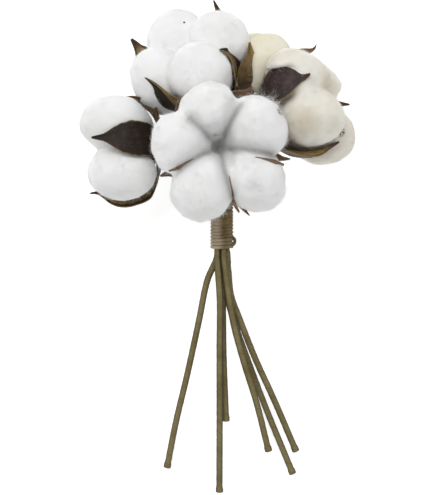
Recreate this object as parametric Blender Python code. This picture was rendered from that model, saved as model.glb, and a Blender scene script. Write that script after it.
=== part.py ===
"""Cotton stem bunch: six open cotton bolls on tape-wrapped stems, tied with twine and laid down.

The bunch lies on the plane z = 0 with its stems along Y, in metres. Every boll is a bur of pointed
valves on a small calyx, and a ring of cotton locks that the bur holds and that bulge out between its
valves. The cotton that touches the surface is pressed flat there.
"""

import math
from dataclasses import dataclass

import bmesh
import bpy
from mathutils import Matrix, Vector, noise

MM = 0.001

# Clearances
GAP = 0.3 * MM
WELD = 0.002 * MM
TIED_GAP = 0.3 * MM

# Stems
STEM_RADIUS = 1.65 * MM
TIED_RADIUS = 1.45 * MM
FOOT_RADIUS = 1.95 * MM
FOOT_LENGTH = 2.5 * MM
STEM_RUN = 3.5 * MM
STEM_STEPS = 3
STEM_BEVEL = 2

# Tie
TIE_X = 2.2 * MM
TIE_Z = 31.0 * MM
TIE_TOP = 20.0 * MM
TIE_BOTTOM = -1.3 * MM
TIE_LEAD = 1.5 * MM
TIE_PITCH = 1.65 * MM
TWINE_RADIUS = 0.75 * MM
TIE_SIDES = 12
LOOP_RADIUS = 2.3 * MM
LOOP_WIRE = 0.5 * MM

# Burs
VALVE_THICK = 0.9 * MM
VALVE_ROOT = 3.0 * MM
VALVE_CAMBER = 15.0 * MM
VALVE_ROWS = 7
VALVE_COLUMNS = 4
BEND_SHARE = 0.8
ROOT_SLOPE = -10.0
CURL_START = 0.84
CALYX_SIDES = 12
CALYX_DEPTH = 3.2 * MM
CALYX_FOOT = 2.3 * MM
CALYX_WALL = 1.0 * MM
CALYX_ROWS = 2
CALYX_TAPER = 0.15
CUT_OUTWARD = 3.5 * MM

# Cotton
LOCK_FACES = 2
LOCK_LUMP = 0.9 * MM
HEART_RADIUS = 13.0 * MM
HEART_FLAT = 0.7
PRESS_DEPTH = 20.0 * MM

# Half width of a valve at shares of its length, in millimetres
VALVE_OUTLINE = ((0.0, 2.6), (0.14, 4.6), (0.32, 7.6), (0.5, 8.8), (0.66, 7.8), (0.8, 5.0), (0.9, 2.2), (1.0, 1.1))

COLOURS = {
    "cotton": ((0.86, 0.86, 0.84, 1.0), 0.95),
    "husk": ((0.055, 0.04, 0.035, 1.0), 0.75),
    "stem": ((0.19, 0.16, 0.09, 1.0), 0.8),
    "twine": ((0.42, 0.34, 0.24, 1.0), 0.9),
}


@dataclass(frozen=True)
class Lock:
    """One lock of cotton: its place round the boll's axis in degrees, and in millimetres from it."""

    azimuth: float
    radial: float
    axial: float = 0.0
    tangent_size: float = 13.2
    radial_size: float = 14.0
    axial_size: float = 15.0


@dataclass(frozen=True)
class Valve:
    """One pointed valve of a bur: azimuth, slope near the tip and outward curl in degrees, length in mm."""

    azimuth: float
    slope: float = 80.0
    curl: float = 25.0
    length: float = 44.0
    width: float = 1.0
    roll: float = 0.0


@dataclass(frozen=True)
class Head:
    """One boll: where its stem meets it in millimetres, which way it faces, its locks and its valves."""

    name: str
    base: tuple
    facing: tuple
    mark: tuple
    ring: float
    locks: tuple
    valves: tuple
    heart: float = 13.0

    def frame(self):
        """The matrix from the boll's own space, with +Z out of the bur and +X at azimuth 0."""
        axis = Vector(self.facing).normalized()
        mark = Vector(self.mark)
        across = (mark - axis * mark.dot(axis)).normalized()
        turn = Matrix((across, axis.cross(across), axis)).transposed()
        return Matrix.Translation(Vector(self.base) * MM) @ turn.to_4x4()


def facing(azimuth, elevation):
    """A direction from its azimuth in the XY plane and its elevation, both in degrees."""
    turn, rise = math.radians(azimuth), math.radians(elevation)
    return (math.cos(rise) * math.cos(turn), math.cos(rise) * math.sin(turn), math.sin(rise))


UP = (0.0, 0.0, 1.0)
RIGHT = (1.0, 0.0, 0.0)

HEADS = (
    Head(
        "front", (-1.5, 51.0, 45.0), (0.10, -0.14, 0.985), RIGHT, 19.0,
        (
            Lock(175, 18.6, -2.0, 15.0, 14.6, 17.0),
            Lock(104, 18.3, -3.0, 14.2, 13.8, 17.0),
            Lock(27, 20.4, -2.0, 15.8, 15.2, 17.0),
            Lock(-43, 24.4, -4.0, 14.6, 16.0, 17.0),
            Lock(-110, 20.6, -1.0, 15.2, 17.6, 17.0),
        ),
        (
            Valve(210, 57, 26, 34, 0.9),
            Valve(-70, 54, 30, 40, 0.8),
            Valve(-12, 55, 28, 39, 0.8),
            Valve(60, 56, 20, 36, 0.9),
            Valve(130, 62, 20, 35, 0.8),
        ),
        7.5,
    ),
    Head(
        "upper_left", (-4.5, 79.0, 21.5), facing(122, 32), UP, 20.0,
        (
            Lock(0, 16.0, -1.5, 16.2, 14.6, 16.5),
            Lock(85, 17.6, 0.5, 15.4, 14.6, 17.0),
            Lock(178, 17.6, 5.0, 15.6, 14.4, 17.0),
            Lock(271, 17.8, -1.0, 16.2, 14.8, 17.5),
        ),
        (
            Valve(49, 96, -60, 34, 0.9),
            Valve(126, 86, 8, 49.5, 0.9),
            Valve(207, 74, 8, 54, 0.9),
            Valve(316, 92, 34, 50),
        ),
        14.0,
    ),
    Head(
        "left", (-29.0, 50.5, 24.5), facing(180.5, 3), UP, 21.0,
        (
            Lock(45, 17.0, 1.0, 14.2, 13.8, 18.0),
            Lock(138, 18.0, -1.0, 14.0, 13.8, 17.0),
            Lock(222, 18.0, -1.0, 14.0, 13.8, 17.0),
            Lock(313, 18.2, -2.0, 14.4, 14.2, 17.0),
        ),
        (
            Valve(7, 98, 16, 50),
            Valve(80, 102, 10, 46),
            Valve(180, 98, 15, 42),
            Valve(268, 112, 34, 51, 1.1),
        ),
    ),
    Head(
        "right", (24.0, 75.5, 30.0), facing(-4, 9), UP, 21.0,
        (
            Lock(40, 16.0, 3.5, 15.6, 14.4, 17.0),
            Lock(120, 19.4, 6.5, 15.0, 14.4, 17.5),
            Lock(228, 16.8, 0.5, 15.0, 14.2, 16.5),
            Lock(314, 15.8, -4.5, 14.8, 13.8, 16.5),
        ),
        (
            Valve(345, 88, 30, 41, 1.1),
            Valve(76, 116, 0, 56, 1.1),
            Valve(184, 98, 0, 60, 0.9),
            Valve(266, 84, 40, 38, 0.9),
        ),
    ),
    Head(
        "back", (16.0, 81.5, 13.5), facing(95, 15), UP, 16.0,
        (
            Lock(38, 13.6, -3.2, 15.6, 15.4, 16.5),
            Lock(140, 11.0, -1.0, 11.0, 11.0, 13.0),
            Lock(235, 11.0, -1.0, 10.5, 10.5, 12.0),
        ),
        (
            Valve(4, 96, 10, 34, 0.6),
            Valve(180, 96, 8, 25, 0.8),
        ),
        10.0,
    ),
    Head(
        "under", (1.2, 33.5, 26.0), (0.0, 0.6, -0.8), RIGHT, 17.0,
        (
            Lock(270, 12.0, 0.0, 10.5, 10.5, 12.0),
            Lock(342, 14.0, 0.0, 11.5, 12.0, 12.5),
            Lock(54, 14.0, 0.0, 11.5, 12.0, 12.5),
            Lock(126, 14.0, 0.0, 11.5, 12.0, 12.5),
            Lock(198, 14.0, 0.0, 11.5, 12.0, 12.5),
        ),
        (
            Valve(18, 84, 10, 28, 0.85),
            Valve(90, 88, 5, 26, 0.85),
            Valve(162, 84, 10, 28, 0.85),
            Valve(234, 96, 10, 25, 0.8),
            Valve(306, 96, 10, 25, 0.8),
        ),
        8.0,
    ),
)


@dataclass(frozen=True)
class Stem:
    """One stem: its boll, its place in the tie as column and row, and its way points in millimetres.

    The points above run from the tie to the boll, and those below from the tie to the cut end.
    """

    head: str
    column: float
    row: float
    above: tuple
    below: tuple


STEMS = (
    Stem(
        "left", -0.75, 1,
        ((-7.2, 32.0, 35.5), (-14.0, 43.0, 30.5)),
        ((0.3, -12.0, 31.8), (1.1, -24.0, 30.0), (1.1, -52.0, 22.5), (1.1, -90.0, 13.0), (1.0, -127.4, 4.5)),
    ),
    Stem(
        "front", 0.25, 1,
        ((3.0, 32.0, 36.0), (0.8, 44.0, 36.0)),
        ((3.95, -12.0, 31.3), (7.8, -37.0, 25.8), (13.2, -57.5, 20.8), (19.7, -78.5, 15.5), (26.5, -105.5, 8.7)),
    ),
    Stem(
        "under", -0.25, 0,
        (),
        ((1.9, -12.0, 28.5), (2.5, -24.0, 25.2), (3.0, -52.0, 18.5), (4.4, -89.7, 9.5)),
    ),
    Stem(
        "right", 0.75, 0,
        ((10.0, 31.0, 34.0), (14.5, 48.0, 33.5), (16.5, 62.0, 31.0)),
        ((5.5, -12.0, 27.9), (6.8, -24.0, 24.4), (11.3, -36.5, 21.3), (19.5, -57.3, 15.5), (28.9, -78.0, 10.0), (41.0, -106.3, 3.0)),
    ),
    Stem(
        "back", 0.25, -1,
        ((5.9, 31.0, 30.2), (9.8, 45.0, 32.6), (11.5, 57.0, 28.0), (15.0, 68.0, 16.5)),
        ((3.0, -12.0, 24.9), (4.6, -24.0, 20.8), (8.2, -37.0, 17.4), (15.4, -57.5, 12.4), (23.2, -78.5, 8.0), (39.4, -118.3, 2.2)),
    ),
    Stem(
        "upper_left", -0.75, -1,
        ((-4.9, 31.0, 29.6), (-7.6, 43.0, 33.0), (-4.6, 62.0, 27.0)),
        ((-5.1, -16.5, 25.0), (-9.4, -37.0, 20.0), (-16.3, -68.5, 12.3), (-21.4, -89.8, 7.5), (-26.4, -115.0, 2.1)),
    ),
)


def material(name):
    """The Principled material of one kind of piece."""
    colour, roughness = COLOURS[name]
    made = bpy.data.materials.new(name)
    made.use_nodes = True
    shader = made.node_tree.nodes["Principled BSDF"]
    shader.inputs["Base Color"].default_value = colour
    shader.inputs["Roughness"].default_value = roughness
    shader.inputs["Metallic"].default_value = 0.0
    made.diffuse_color = colour
    return made


def mesh_object(name, points, faces, place=None):
    """A mesh object in the scene from points and faces, facing out."""
    mesh = bpy.data.meshes.new(name)
    mesh.from_pydata([tuple(point) for point in points], [], faces)
    if place is not None:
        mesh.transform(place)
    shell = bmesh.new()
    shell.from_mesh(mesh)
    bmesh.ops.recalc_face_normals(shell, faces=shell.faces)
    shell.to_mesh(mesh)
    shell.free()
    made = bpy.data.objects.new(name, mesh)
    bpy.context.scene.collection.objects.link(made)
    return made


def blend(table, share):
    """The value of a table of (share, value) pairs at one share, joined by smooth steps."""
    for (low, first), (high, second) in zip(table, table[1:]):
        if share <= high:
            part = (share - low) / (high - low)
            return first + (second - first) * part
    return table[-1][1]


def smooth(value):
    """A smooth step from 0 to 1."""
    value = min(max(value, 0.0), 1.0)
    return value * value * (3.0 - 2.0 * value)


def valve_profile(valve, steps):
    """Distance from the axis, height and slope along a valve's midline, from root to tip."""
    spots = [(VALVE_ROOT, 0.0, math.radians(ROOT_SLOPE))]
    pieces = 8
    reach, height = VALVE_ROOT, 0.0
    stride = valve.length * MM / (steps * pieces)
    for step in range(1, steps * pieces + 1):
        share = (step - 0.5) / (steps * pieces)
        slope = ROOT_SLOPE + (valve.slope - ROOT_SLOPE) * min(share / BEND_SHARE, 1.0)
        slope -= valve.curl * smooth((share - CURL_START) / (1.0 - CURL_START))
        reach += stride * math.cos(math.radians(slope))
        height += stride * math.sin(math.radians(slope))
        if step % pieces == 0:
            spots.append((reach, height, math.radians(slope)))
    return spots


def valve_solid(head, valve, grow=0.0, outward=None):
    """One curved valve. It grows by a margin all round and, as a cutter, runs outwards from the boll."""
    spots = valve_profile(valve, VALVE_ROWS)
    turn = Matrix.Rotation(math.radians(valve.azimuth), 4, "Z")
    rows = []
    for row, (reach, height, slope) in enumerate(spots):
        share = row / VALVE_ROWS
        half = blend(VALVE_OUTLINE, share) * MM * valve.width + grow
        along = Vector((math.cos(slope), 0.0, math.sin(slope)))
        inward = Vector((-math.sin(slope), 0.0, math.cos(slope)))
        if row == VALVE_ROWS:
            reach, height = reach + along.x * grow, height + along.z * grow
        line = []
        for column in range(VALVE_COLUMNS + 1):
            across = 2.0 * column / VALVE_COLUMNS - 1.0
            angle = across * half / VALVE_CAMBER
            rise = VALVE_CAMBER * (1.0 - math.cos(angle)) + across * half * math.sin(math.radians(valve.roll))
            normal = (inward * math.cos(angle) - Vector((0.0, 1.0, 0.0)) * math.sin(angle)).normalized()
            spot = Vector((reach, VALVE_CAMBER * math.sin(angle), height)) + inward * rise
            line.append((spot, normal))
        rows.append(line)
    thick = VALVE_THICK / 2.0 + grow
    inner, outer = [], []
    for line in rows:
        for spot, normal in line:
            inner.append(turn @ (spot + normal * thick))
            if outward is None:
                outer.append(turn @ (spot - normal * thick))
            else:
                outer.append(turn @ (spot - normal * outward))
    wide = VALVE_COLUMNS + 1
    count = len(inner)
    faces = []
    for row in range(VALVE_ROWS):
        for column in range(VALVE_COLUMNS):
            a = row * wide + column
            b, c, d = a + 1, a + wide + 1, a + wide
            faces += [(a, b, c), (a, c, d), (a + count, c + count, b + count), (a + count, d + count, c + count)]
    rim = [column for column in range(wide)]
    rim += [row * wide + VALVE_COLUMNS for row in range(1, VALVE_ROWS + 1)]
    rim += [VALVE_ROWS * wide + column for column in range(VALVE_COLUMNS - 1, -1, -1)]
    rim += [row * wide for row in range(VALVE_ROWS - 1, 0, -1)]
    for here, there in zip(rim, rim[1:] + rim[:1]):
        faces += [(here, here + count, there + count), (here, there + count, there)]
    return mesh_object("valve", inner + outer, faces, head.frame())


def calyx_solid(head, grow=0.0):
    """The small cup at a boll's foot that its valves grow from, with a flat foot towards the stem."""
    spots = valve_profile(min(head.valves, key=lambda valve: valve.length), VALVE_ROWS)
    inside, outside = [], []
    for row, (reach, height, slope) in enumerate(spots[:CALYX_ROWS + 1]):
        lean = CALYX_WALL * (1.0 - CALYX_TAPER * row) + grow
        if row == CALYX_ROWS:
            reach, height = reach + math.cos(slope) * grow, height + math.sin(slope) * grow
        inside.append((reach - math.sin(slope) * lean, height + math.cos(slope) * lean))
        outside.append((reach + math.sin(slope) * lean, height - math.cos(slope) * lean))
    foot = (CALYX_FOOT + grow, -CALYX_DEPTH - grow)
    profile = [foot, (CALYX_FOOT * 1.25 + grow, -CALYX_DEPTH * 0.6)] + outside[1:] + inside[:0:-1]
    points, faces = [], []
    for reach, height in profile:
        for side in range(CALYX_SIDES):
            angle = 2.0 * math.pi * side / CALYX_SIDES
            points.append(Vector((reach * math.cos(angle), reach * math.sin(angle), height)))
    for ring in range(len(profile) - 1):
        for side in range(CALYX_SIDES):
            a = ring * CALYX_SIDES + side
            b = ring * CALYX_SIDES + (side + 1) % CALYX_SIDES
            faces.append((a, b, b + CALYX_SIDES, a + CALYX_SIDES))
    foot_centre, top_centre = len(points), len(points) + 1
    points += [Vector((0.0, 0.0, foot[1])), Vector((0.0, 0.0, inside[0][1]))]
    last = (len(profile) - 1) * CALYX_SIDES
    for side in range(CALYX_SIDES):
        after = (side + 1) % CALYX_SIDES
        faces += [(foot_centre, after, side), (top_centre, last + side, last + after)]
    return mesh_object("calyx", points, faces, head.frame())


def lock_solid(head, lock, seed, grow=0.0):
    """One lumpy lock of cotton, as an egg that is a little narrower towards the boll's foot."""
    shell = bmesh.new()
    bmesh.ops.create_icosphere(shell, subdivisions=LOCK_FACES, radius=1.0)
    for vertex in shell.verts:
        out = vertex.co.normalized()
        narrow = 1.0 - 0.1 * max(-out.z, 0.0)
        lump = LOCK_LUMP * noise.noise(out * 1.6 + Vector((seed * 3.7, seed * 1.3, 0.0)))
        size = Vector((lock.radial_size, lock.tangent_size, lock.axial_size)) * MM
        vertex.co = Vector((out.x * size.x * narrow, out.y * size.y * narrow, out.z * size.z))
        vertex.co += out * (lump + grow)
    made = mesh_from(shell, "lock")
    place = Matrix.Rotation(math.radians(lock.azimuth), 4, "Z")
    place = place @ Matrix.Translation(Vector((lock.radial, 0.0, head.ring + lock.axial)) * MM)
    made.data.transform(head.frame() @ place)
    return made


def mesh_from(shell, name):
    """A scene object that takes over a bmesh."""
    mesh = bpy.data.meshes.new(name)
    shell.to_mesh(mesh)
    shell.free()
    made = bpy.data.objects.new(name, mesh)
    bpy.context.scene.collection.objects.link(made)
    return made


def heart_solid(head, grow=0.0):
    """The small mass of cotton in the middle of a boll that its locks grow together in."""
    shell = bmesh.new()
    place = head.frame() @ Matrix.Translation(Vector((0.0, 0.0, head.heart)) * MM)
    place = place @ Matrix.Diagonal((1.0, 1.0, HEART_FLAT, 1.0))
    bmesh.ops.create_icosphere(shell, subdivisions=LOCK_FACES, radius=HEART_RADIUS + grow, matrix=place)
    return mesh_from(shell, "heart")


def press_solid():
    """A block below the surface, which presses the cotton flat where it lies on it."""
    shell = bmesh.new()
    place = Matrix.Translation((0.0, 0.0, -PRESS_DEPTH / 2.0)) @ Matrix.Diagonal((0.5, 0.5, PRESS_DEPTH, 1.0))
    bmesh.ops.create_cube(shell, size=1.0, matrix=place)
    return mesh_from(shell, "press")


def closed(mesh):
    """Whether every edge of a mesh joins exactly two faces."""
    shell = bmesh.new()
    shell.from_mesh(mesh)
    bmesh.ops.remove_doubles(shell, verts=shell.verts, dist=WELD)
    whole = all(len(edge.link_faces) == 2 for edge in shell.edges)
    shell.free()
    return whole


def boolean(target, others, operation):
    """One Boolean of a mesh with several others, applied, with the others then removed."""
    group = bpy.data.collections.new("operands")
    bpy.context.scene.collection.children.link(group)
    for other in others:
        group.objects.link(other)
    modifier = target.modifiers.new("boolean", "BOOLEAN")
    modifier.operation = operation
    modifier.operand_type = "COLLECTION"
    modifier.collection = group
    for solver in ("EXACT", "MANIFOLD"):
        modifier.solver = solver
        graph = bpy.context.evaluated_depsgraph_get()
        mesh = bpy.data.meshes.new_from_object(target.evaluated_get(graph))
        if closed(mesh):
            break
    target.modifiers.clear()
    target.data = mesh
    for other in others:
        bpy.data.objects.remove(other)
    bpy.data.collections.remove(group)


def keep_largest(target):
    """Drops loose scraps and the walls of sealed hollows, so that one closed body is left."""
    shell = bmesh.new()
    shell.from_mesh(target.data)
    bmesh.ops.remove_doubles(shell, verts=shell.verts, dist=WELD)
    bmesh.ops.triangulate(shell, faces=shell.faces)
    left = set(shell.verts)
    bodies = []
    while left:
        body, edge = set(), [left.pop()]
        while edge:
            vertex = edge.pop()
            body.add(vertex)
            near = {e.other_vert(vertex) for e in vertex.link_edges} & left
            left -= near
            edge += near
        bodies.append(body)
    bodies.sort(key=len, reverse=True)
    for body in bodies[1:]:
        bmesh.ops.delete(shell, geom=list(body), context="VERTS")
    shell.to_mesh(target.data)
    shell.free()


def stem_line(stem):
    """A stem's way points from its boll down to its cut end, in metres."""
    head = next(head for head in HEADS if head.name == stem.head)
    frame = head.frame()
    foot = -CALYX_DEPTH - GAP
    start = [frame @ Vector((0.0, 0.0, foot - run)) for run in (0.0, STEM_RUN / 4.0, STEM_RUN)]
    pitch = 2.0 * TIED_RADIUS + TIED_GAP
    tied = Vector((TIE_X + stem.column * pitch, 0.0, TIE_Z + stem.row * pitch * math.sqrt(0.75)))
    levels = (TIE_TOP + TIE_LEAD, TIE_TOP, TIE_BOTTOM, TIE_BOTTOM - TIE_LEAD)
    through = [tied + Vector((0.0, level, 0.0)) for level in levels]
    above = [Vector(point) * MM for point in reversed(stem.above)]
    return start + above + through + [Vector(point) * MM for point in stem.below]


def smooth_line(points, steps):
    """Points of a smooth curve through the given ones, whose bends keep to the spacing of its points."""
    reaches = [(after - here).length for here, after in zip(points, points[1:])]
    tangents = [(points[1] - points[0]) / reaches[0]]
    for before, here, after, low, high in zip(points, points[1:], points[2:], reaches, reaches[1:]):
        tangents.append(((here - before) * (high / low) + (after - here) * (low / high)) / (low + high))
    tangents.append((points[-1] - points[-2]) / reaches[-1])
    line = []
    for spot, reach in enumerate(reaches):
        here, after = points[spot], points[spot + 1]
        leave, arrive = tangents[spot] * reach, tangents[spot + 1] * reach
        for step in range(steps):
            t = step / steps
            place = here * (2.0 * t ** 3 - 3.0 * t * t + 1.0) + leave * (t ** 3 - 2.0 * t * t + t)
            place += after * (3.0 * t * t - 2.0 * t ** 3) + arrive * (t ** 3 - t * t)
            line.append(place)
    return line + [points[-1]]


def stem_radius(spot, end):
    """A stem's radius at a point: squeezed where it is tied, and spread at its cut end."""
    if (spot - end).length < FOOT_LENGTH:
        return FOOT_RADIUS
    middle = (TIE_TOP + TIE_BOTTOM) / 2.0
    away = abs(spot.y - middle) - (TIE_TOP - TIE_BOTTOM) / 2.0
    return TIED_RADIUS + (STEM_RADIUS - TIED_RADIUS) * smooth(away / (12.0 * MM))


def stem_solid(stem, grow=0.0):
    """One stem as a bevelled curve, or a mesh of it that is wider by a margin."""
    line = smooth_line(stem_line(stem), STEM_STEPS)
    end = line[-1]
    line[-1:] = [end + (line[-2] - end).normalized() * FOOT_LENGTH * 0.7, end]
    curve = bpy.data.curves.new("stem", "CURVE")
    curve.dimensions = "3D"
    curve.bevel_depth = 1.0
    curve.bevel_resolution = STEM_BEVEL
    curve.use_fill_caps = True
    curve.resolution_u = 1
    spline = curve.splines.new("POLY")
    spline.points.add(len(line) - 1)
    for point, spot in zip(spline.points, line):
        point.co = (*spot, 1.0)
        point.radius = stem_radius(spot, end) + grow
    made = bpy.data.objects.new("stem_" + stem.head, curve)
    bpy.context.scene.collection.objects.link(made)
    if grow:
        graph = bpy.context.evaluated_depsgraph_get()
        mesh = bpy.data.meshes.new_from_object(made.evaluated_get(graph))
        bpy.data.objects.remove(made)
        made = bpy.data.objects.new("stem_cutter", mesh)
        bpy.context.scene.collection.objects.link(made)
        weld(made)
    return made


def weld(target):
    """Joins points that coincide, as at a curve's caps, and turns the faces out."""
    shell = bmesh.new()
    shell.from_mesh(target.data)
    bmesh.ops.remove_doubles(shell, verts=shell.verts, dist=0.01 * MM)
    bmesh.ops.recalc_face_normals(shell, faces=shell.faces)
    shell.to_mesh(target.data)
    shell.free()


def tie_outline(margin):
    """Points round the tied stems in the XZ plane, a margin outside them, evenly spaced by angle."""
    pitch = 2.0 * TIED_RADIUS + TIED_GAP
    centres = [Vector((stem.column * pitch, stem.row * pitch * math.sqrt(0.75))) for stem in STEMS]
    outline = []
    for side in range(TIE_SIDES):
        angle = 2.0 * math.pi * (side + 0.5) / TIE_SIDES
        out = Vector((math.cos(angle), math.sin(angle)))
        corner = max(centres, key=lambda centre: centre.dot(out))
        outline.append(corner + out * (TIED_RADIUS + margin) / math.cos(math.pi / TIE_SIDES))
    return outline


def tie_solid():
    """The twine wound round the stems, its turns lying side by side as one ribbed sleeve."""
    turns = round((TIE_TOP - TIE_BOTTOM) / TIE_PITCH)
    inner = tie_outline(GAP)
    groove = tie_outline(GAP + TWINE_RADIUS)
    crest = tie_outline(GAP + 2.0 * TWINE_RADIUS)
    rings = [(inner, TIE_BOTTOM)]
    for turn in range(turns):
        low = TIE_BOTTOM + turn * TIE_PITCH
        rings += [(groove, low), (crest, low + TIE_PITCH * 0.5)]
    rings += [(groove, TIE_BOTTOM + turns * TIE_PITCH), (inner, TIE_BOTTOM + turns * TIE_PITCH)]
    points, faces = [], []
    for outline, level in rings:
        points += [Vector((TIE_X + spot.x, level, TIE_Z + spot.y)) for spot in outline]
    count = len(rings)
    for ring in range(count):
        for side in range(TIE_SIDES):
            after = (side + 1) % TIE_SIDES
            a, b = ring * TIE_SIDES + side, ring * TIE_SIDES + after
            c = (ring + 1) % count * TIE_SIDES
            faces.append((a, b, c + after, c + side))
    return mesh_object("twine_tie", points, faces)


def loop_solid():
    """The small loop of twine that stands out of the tie at its right side."""
    edge = TIE_X + max(spot.x for spot in tie_outline(GAP + 2.0 * TWINE_RADIUS))
    curve = bpy.data.curves.new("twine_loop", "CURVE")
    curve.dimensions = "3D"
    curve.bevel_depth = LOOP_WIRE
    curve.bevel_resolution = 1
    curve.use_fill_caps = True
    curve.resolution_u = 1
    spline = curve.splines.new("POLY")
    steps = 8
    spline.points.add(steps)
    for step in range(steps + 1):
        angle = math.radians(-90.0 + 180.0 * step / steps)
        out = edge + GAP + LOOP_WIRE * 0.2 + LOOP_RADIUS * math.cos(angle)
        spline.points[step].co = (out, 3.2 * MM + LOOP_RADIUS * math.sin(angle), TIE_Z + 0.6 * MM, 1.0)
    made = bpy.data.objects.new("twine_loop", curve)
    bpy.context.scene.collection.objects.link(made)
    return made


def husk_node(head):
    """A boll's bur: its valves and calyx fused in one body."""
    body = calyx_solid(head)
    boolean(body, [valve_solid(head, valve) for valve in head.valves], "UNION")
    keep_largest(body)
    body.name = head.name + "_husk"
    return body


def cotton_node(head, index):
    """A boll's locks fused in one body, and cut clear of every bur, stem and earlier boll's cotton."""
    body = heart_solid(head)
    locks = [lock_solid(head, lock, 10 * index + spot) for spot, lock in enumerate(head.locks)]
    boolean(body, locks, "UNION")
    cutters = [valve_solid(head, valve, GAP, CUT_OUTWARD) for valve in head.valves]
    for other in HEADS:
        cutters.append(calyx_solid(other, GAP))
        if other is not head:
            cutters += [valve_solid(other, valve, GAP) for valve in other.valves]
    cutters += [stem_solid(stem, GAP) for stem in STEMS]
    for earlier, other in enumerate(HEADS[:index]):
        cutters.append(heart_solid(other, GAP / HEART_FLAT))
        cutters += [lock_solid(other, lock, 10 * earlier + spot, GAP) for spot, lock in enumerate(other.locks)]
    cutters.append(press_solid())
    boolean(body, cutters, "DIFFERENCE")
    keep_largest(body)
    body.name = head.name + "_cotton"
    return body


def finish(made, finish_name, angle=60.0):
    """Names a piece's mesh after it, gives it its material and shades it."""
    made.data.name = made.name
    made.data.materials.clear()
    made.data.materials.append(material(finish_name))
    if made.type == "MESH":
        made.data.shade_smooth()
        made.data.set_sharp_from_angle(angle=math.radians(angle))


def centre_on_origin(pieces):
    """Hangs every piece on one empty, so that the box's bottom centre is the origin."""
    bpy.context.view_layer.update()
    corners = [piece.matrix_world @ Vector(corner) for piece in pieces for corner in piece.bound_box]
    low = [min(corner[axis] for corner in corners) for axis in range(3)]
    high = [max(corner[axis] for corner in corners) for axis in range(3)]
    holder = bpy.data.objects.new("bunch", None)
    bpy.context.scene.collection.objects.link(holder)
    holder.location = (-(low[0] + high[0]) / 2.0, -(low[1] + high[1]) / 2.0, -low[2])
    for piece in pieces:
        piece.parent = holder


def main():
    for leftover in list(bpy.data.objects):
        bpy.data.objects.remove(leftover)
    pieces = []
    for index, head in enumerate(HEADS):
        husk = husk_node(head)
        finish(husk, "husk", 35.0)
        cotton = cotton_node(head, index)
        finish(cotton, "cotton")
        pieces += [husk, cotton]
    for stem in STEMS:
        made = stem_solid(stem)
        finish(made, "stem")
        pieces.append(made)
    tie = tie_solid()
    finish(tie, "twine")
    loop = loop_solid()
    finish(loop, "twine")
    centre_on_origin(pieces + [tie, loop])


main()
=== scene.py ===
"""Looks of a cotton stem bunch: fluffy cotton, dry burs, tape-wrapped stems and a twine tie.

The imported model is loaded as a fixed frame. Every piece here is modelled round it, takes the place of
the plain solid that it stands for, and rides on the bunch's one body. Lengths are in metres and angles
in radians, unless a name or a table says millimetres or degrees.
"""

from __future__ import annotations

import logging
import math
from collections.abc import Callable
from dataclasses import dataclass
from enum import Enum

import bpy
import numpy as np
from mathutils import Matrix, Vector, noise
from mathutils.bvhtree import BVHTree


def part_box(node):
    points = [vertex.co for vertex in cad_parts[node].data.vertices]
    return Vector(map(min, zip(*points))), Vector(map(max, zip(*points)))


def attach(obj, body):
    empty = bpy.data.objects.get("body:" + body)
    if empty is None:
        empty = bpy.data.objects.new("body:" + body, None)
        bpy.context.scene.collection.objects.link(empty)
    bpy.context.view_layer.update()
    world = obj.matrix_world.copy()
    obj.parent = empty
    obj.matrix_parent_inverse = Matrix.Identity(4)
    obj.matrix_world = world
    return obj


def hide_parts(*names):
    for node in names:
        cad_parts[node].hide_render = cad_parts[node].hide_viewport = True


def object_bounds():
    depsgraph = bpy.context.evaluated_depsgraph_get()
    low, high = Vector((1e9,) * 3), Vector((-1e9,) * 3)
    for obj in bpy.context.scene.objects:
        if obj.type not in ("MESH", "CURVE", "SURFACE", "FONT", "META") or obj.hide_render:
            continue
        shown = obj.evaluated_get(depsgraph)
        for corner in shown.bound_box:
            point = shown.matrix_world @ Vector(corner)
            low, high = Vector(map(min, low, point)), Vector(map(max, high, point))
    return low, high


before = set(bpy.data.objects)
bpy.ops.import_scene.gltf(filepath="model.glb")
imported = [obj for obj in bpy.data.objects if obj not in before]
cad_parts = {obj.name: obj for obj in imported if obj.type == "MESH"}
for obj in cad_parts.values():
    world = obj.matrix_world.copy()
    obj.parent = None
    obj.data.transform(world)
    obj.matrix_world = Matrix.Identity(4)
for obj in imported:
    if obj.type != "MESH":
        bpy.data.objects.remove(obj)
CAD_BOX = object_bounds()

LOG = logging.getLogger("cotton_bunch")
BODY = "root"
MM = 0.001

Point = tuple[float, float, float]
Colour = tuple[float, float, float, float]

# No point comes nearer to the table than this
FLOOR_ROOM = 0.02 * MM
# Rays that look for a surface from above start here
OVERHEAD = CAD_BOX[1][2] + 0.05

# Where the tie stands in the drawing of the bunch, in millimetres, which places everything else
TIE_X = 2.2
TIE_Z = 31.0
TIE_BOTTOM = -1.3
TIE_TOP = 20.0
TIE_LEAD = 1.5
TIE_PITCH = 1.65

# The girth of the stems and the twine and the room between them, in millimetres
TIED_RADIUS = 1.45
TIED_GAP = 0.3
STEM_RADIUS = 1.65
FOOT_RADIUS = 1.95
FOOT_LENGTH = 2.5
GAP = 0.3
TWINE_RADIUS = 0.75


# --------------------------------------------------------------------------------------------------
# Shader maths


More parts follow.
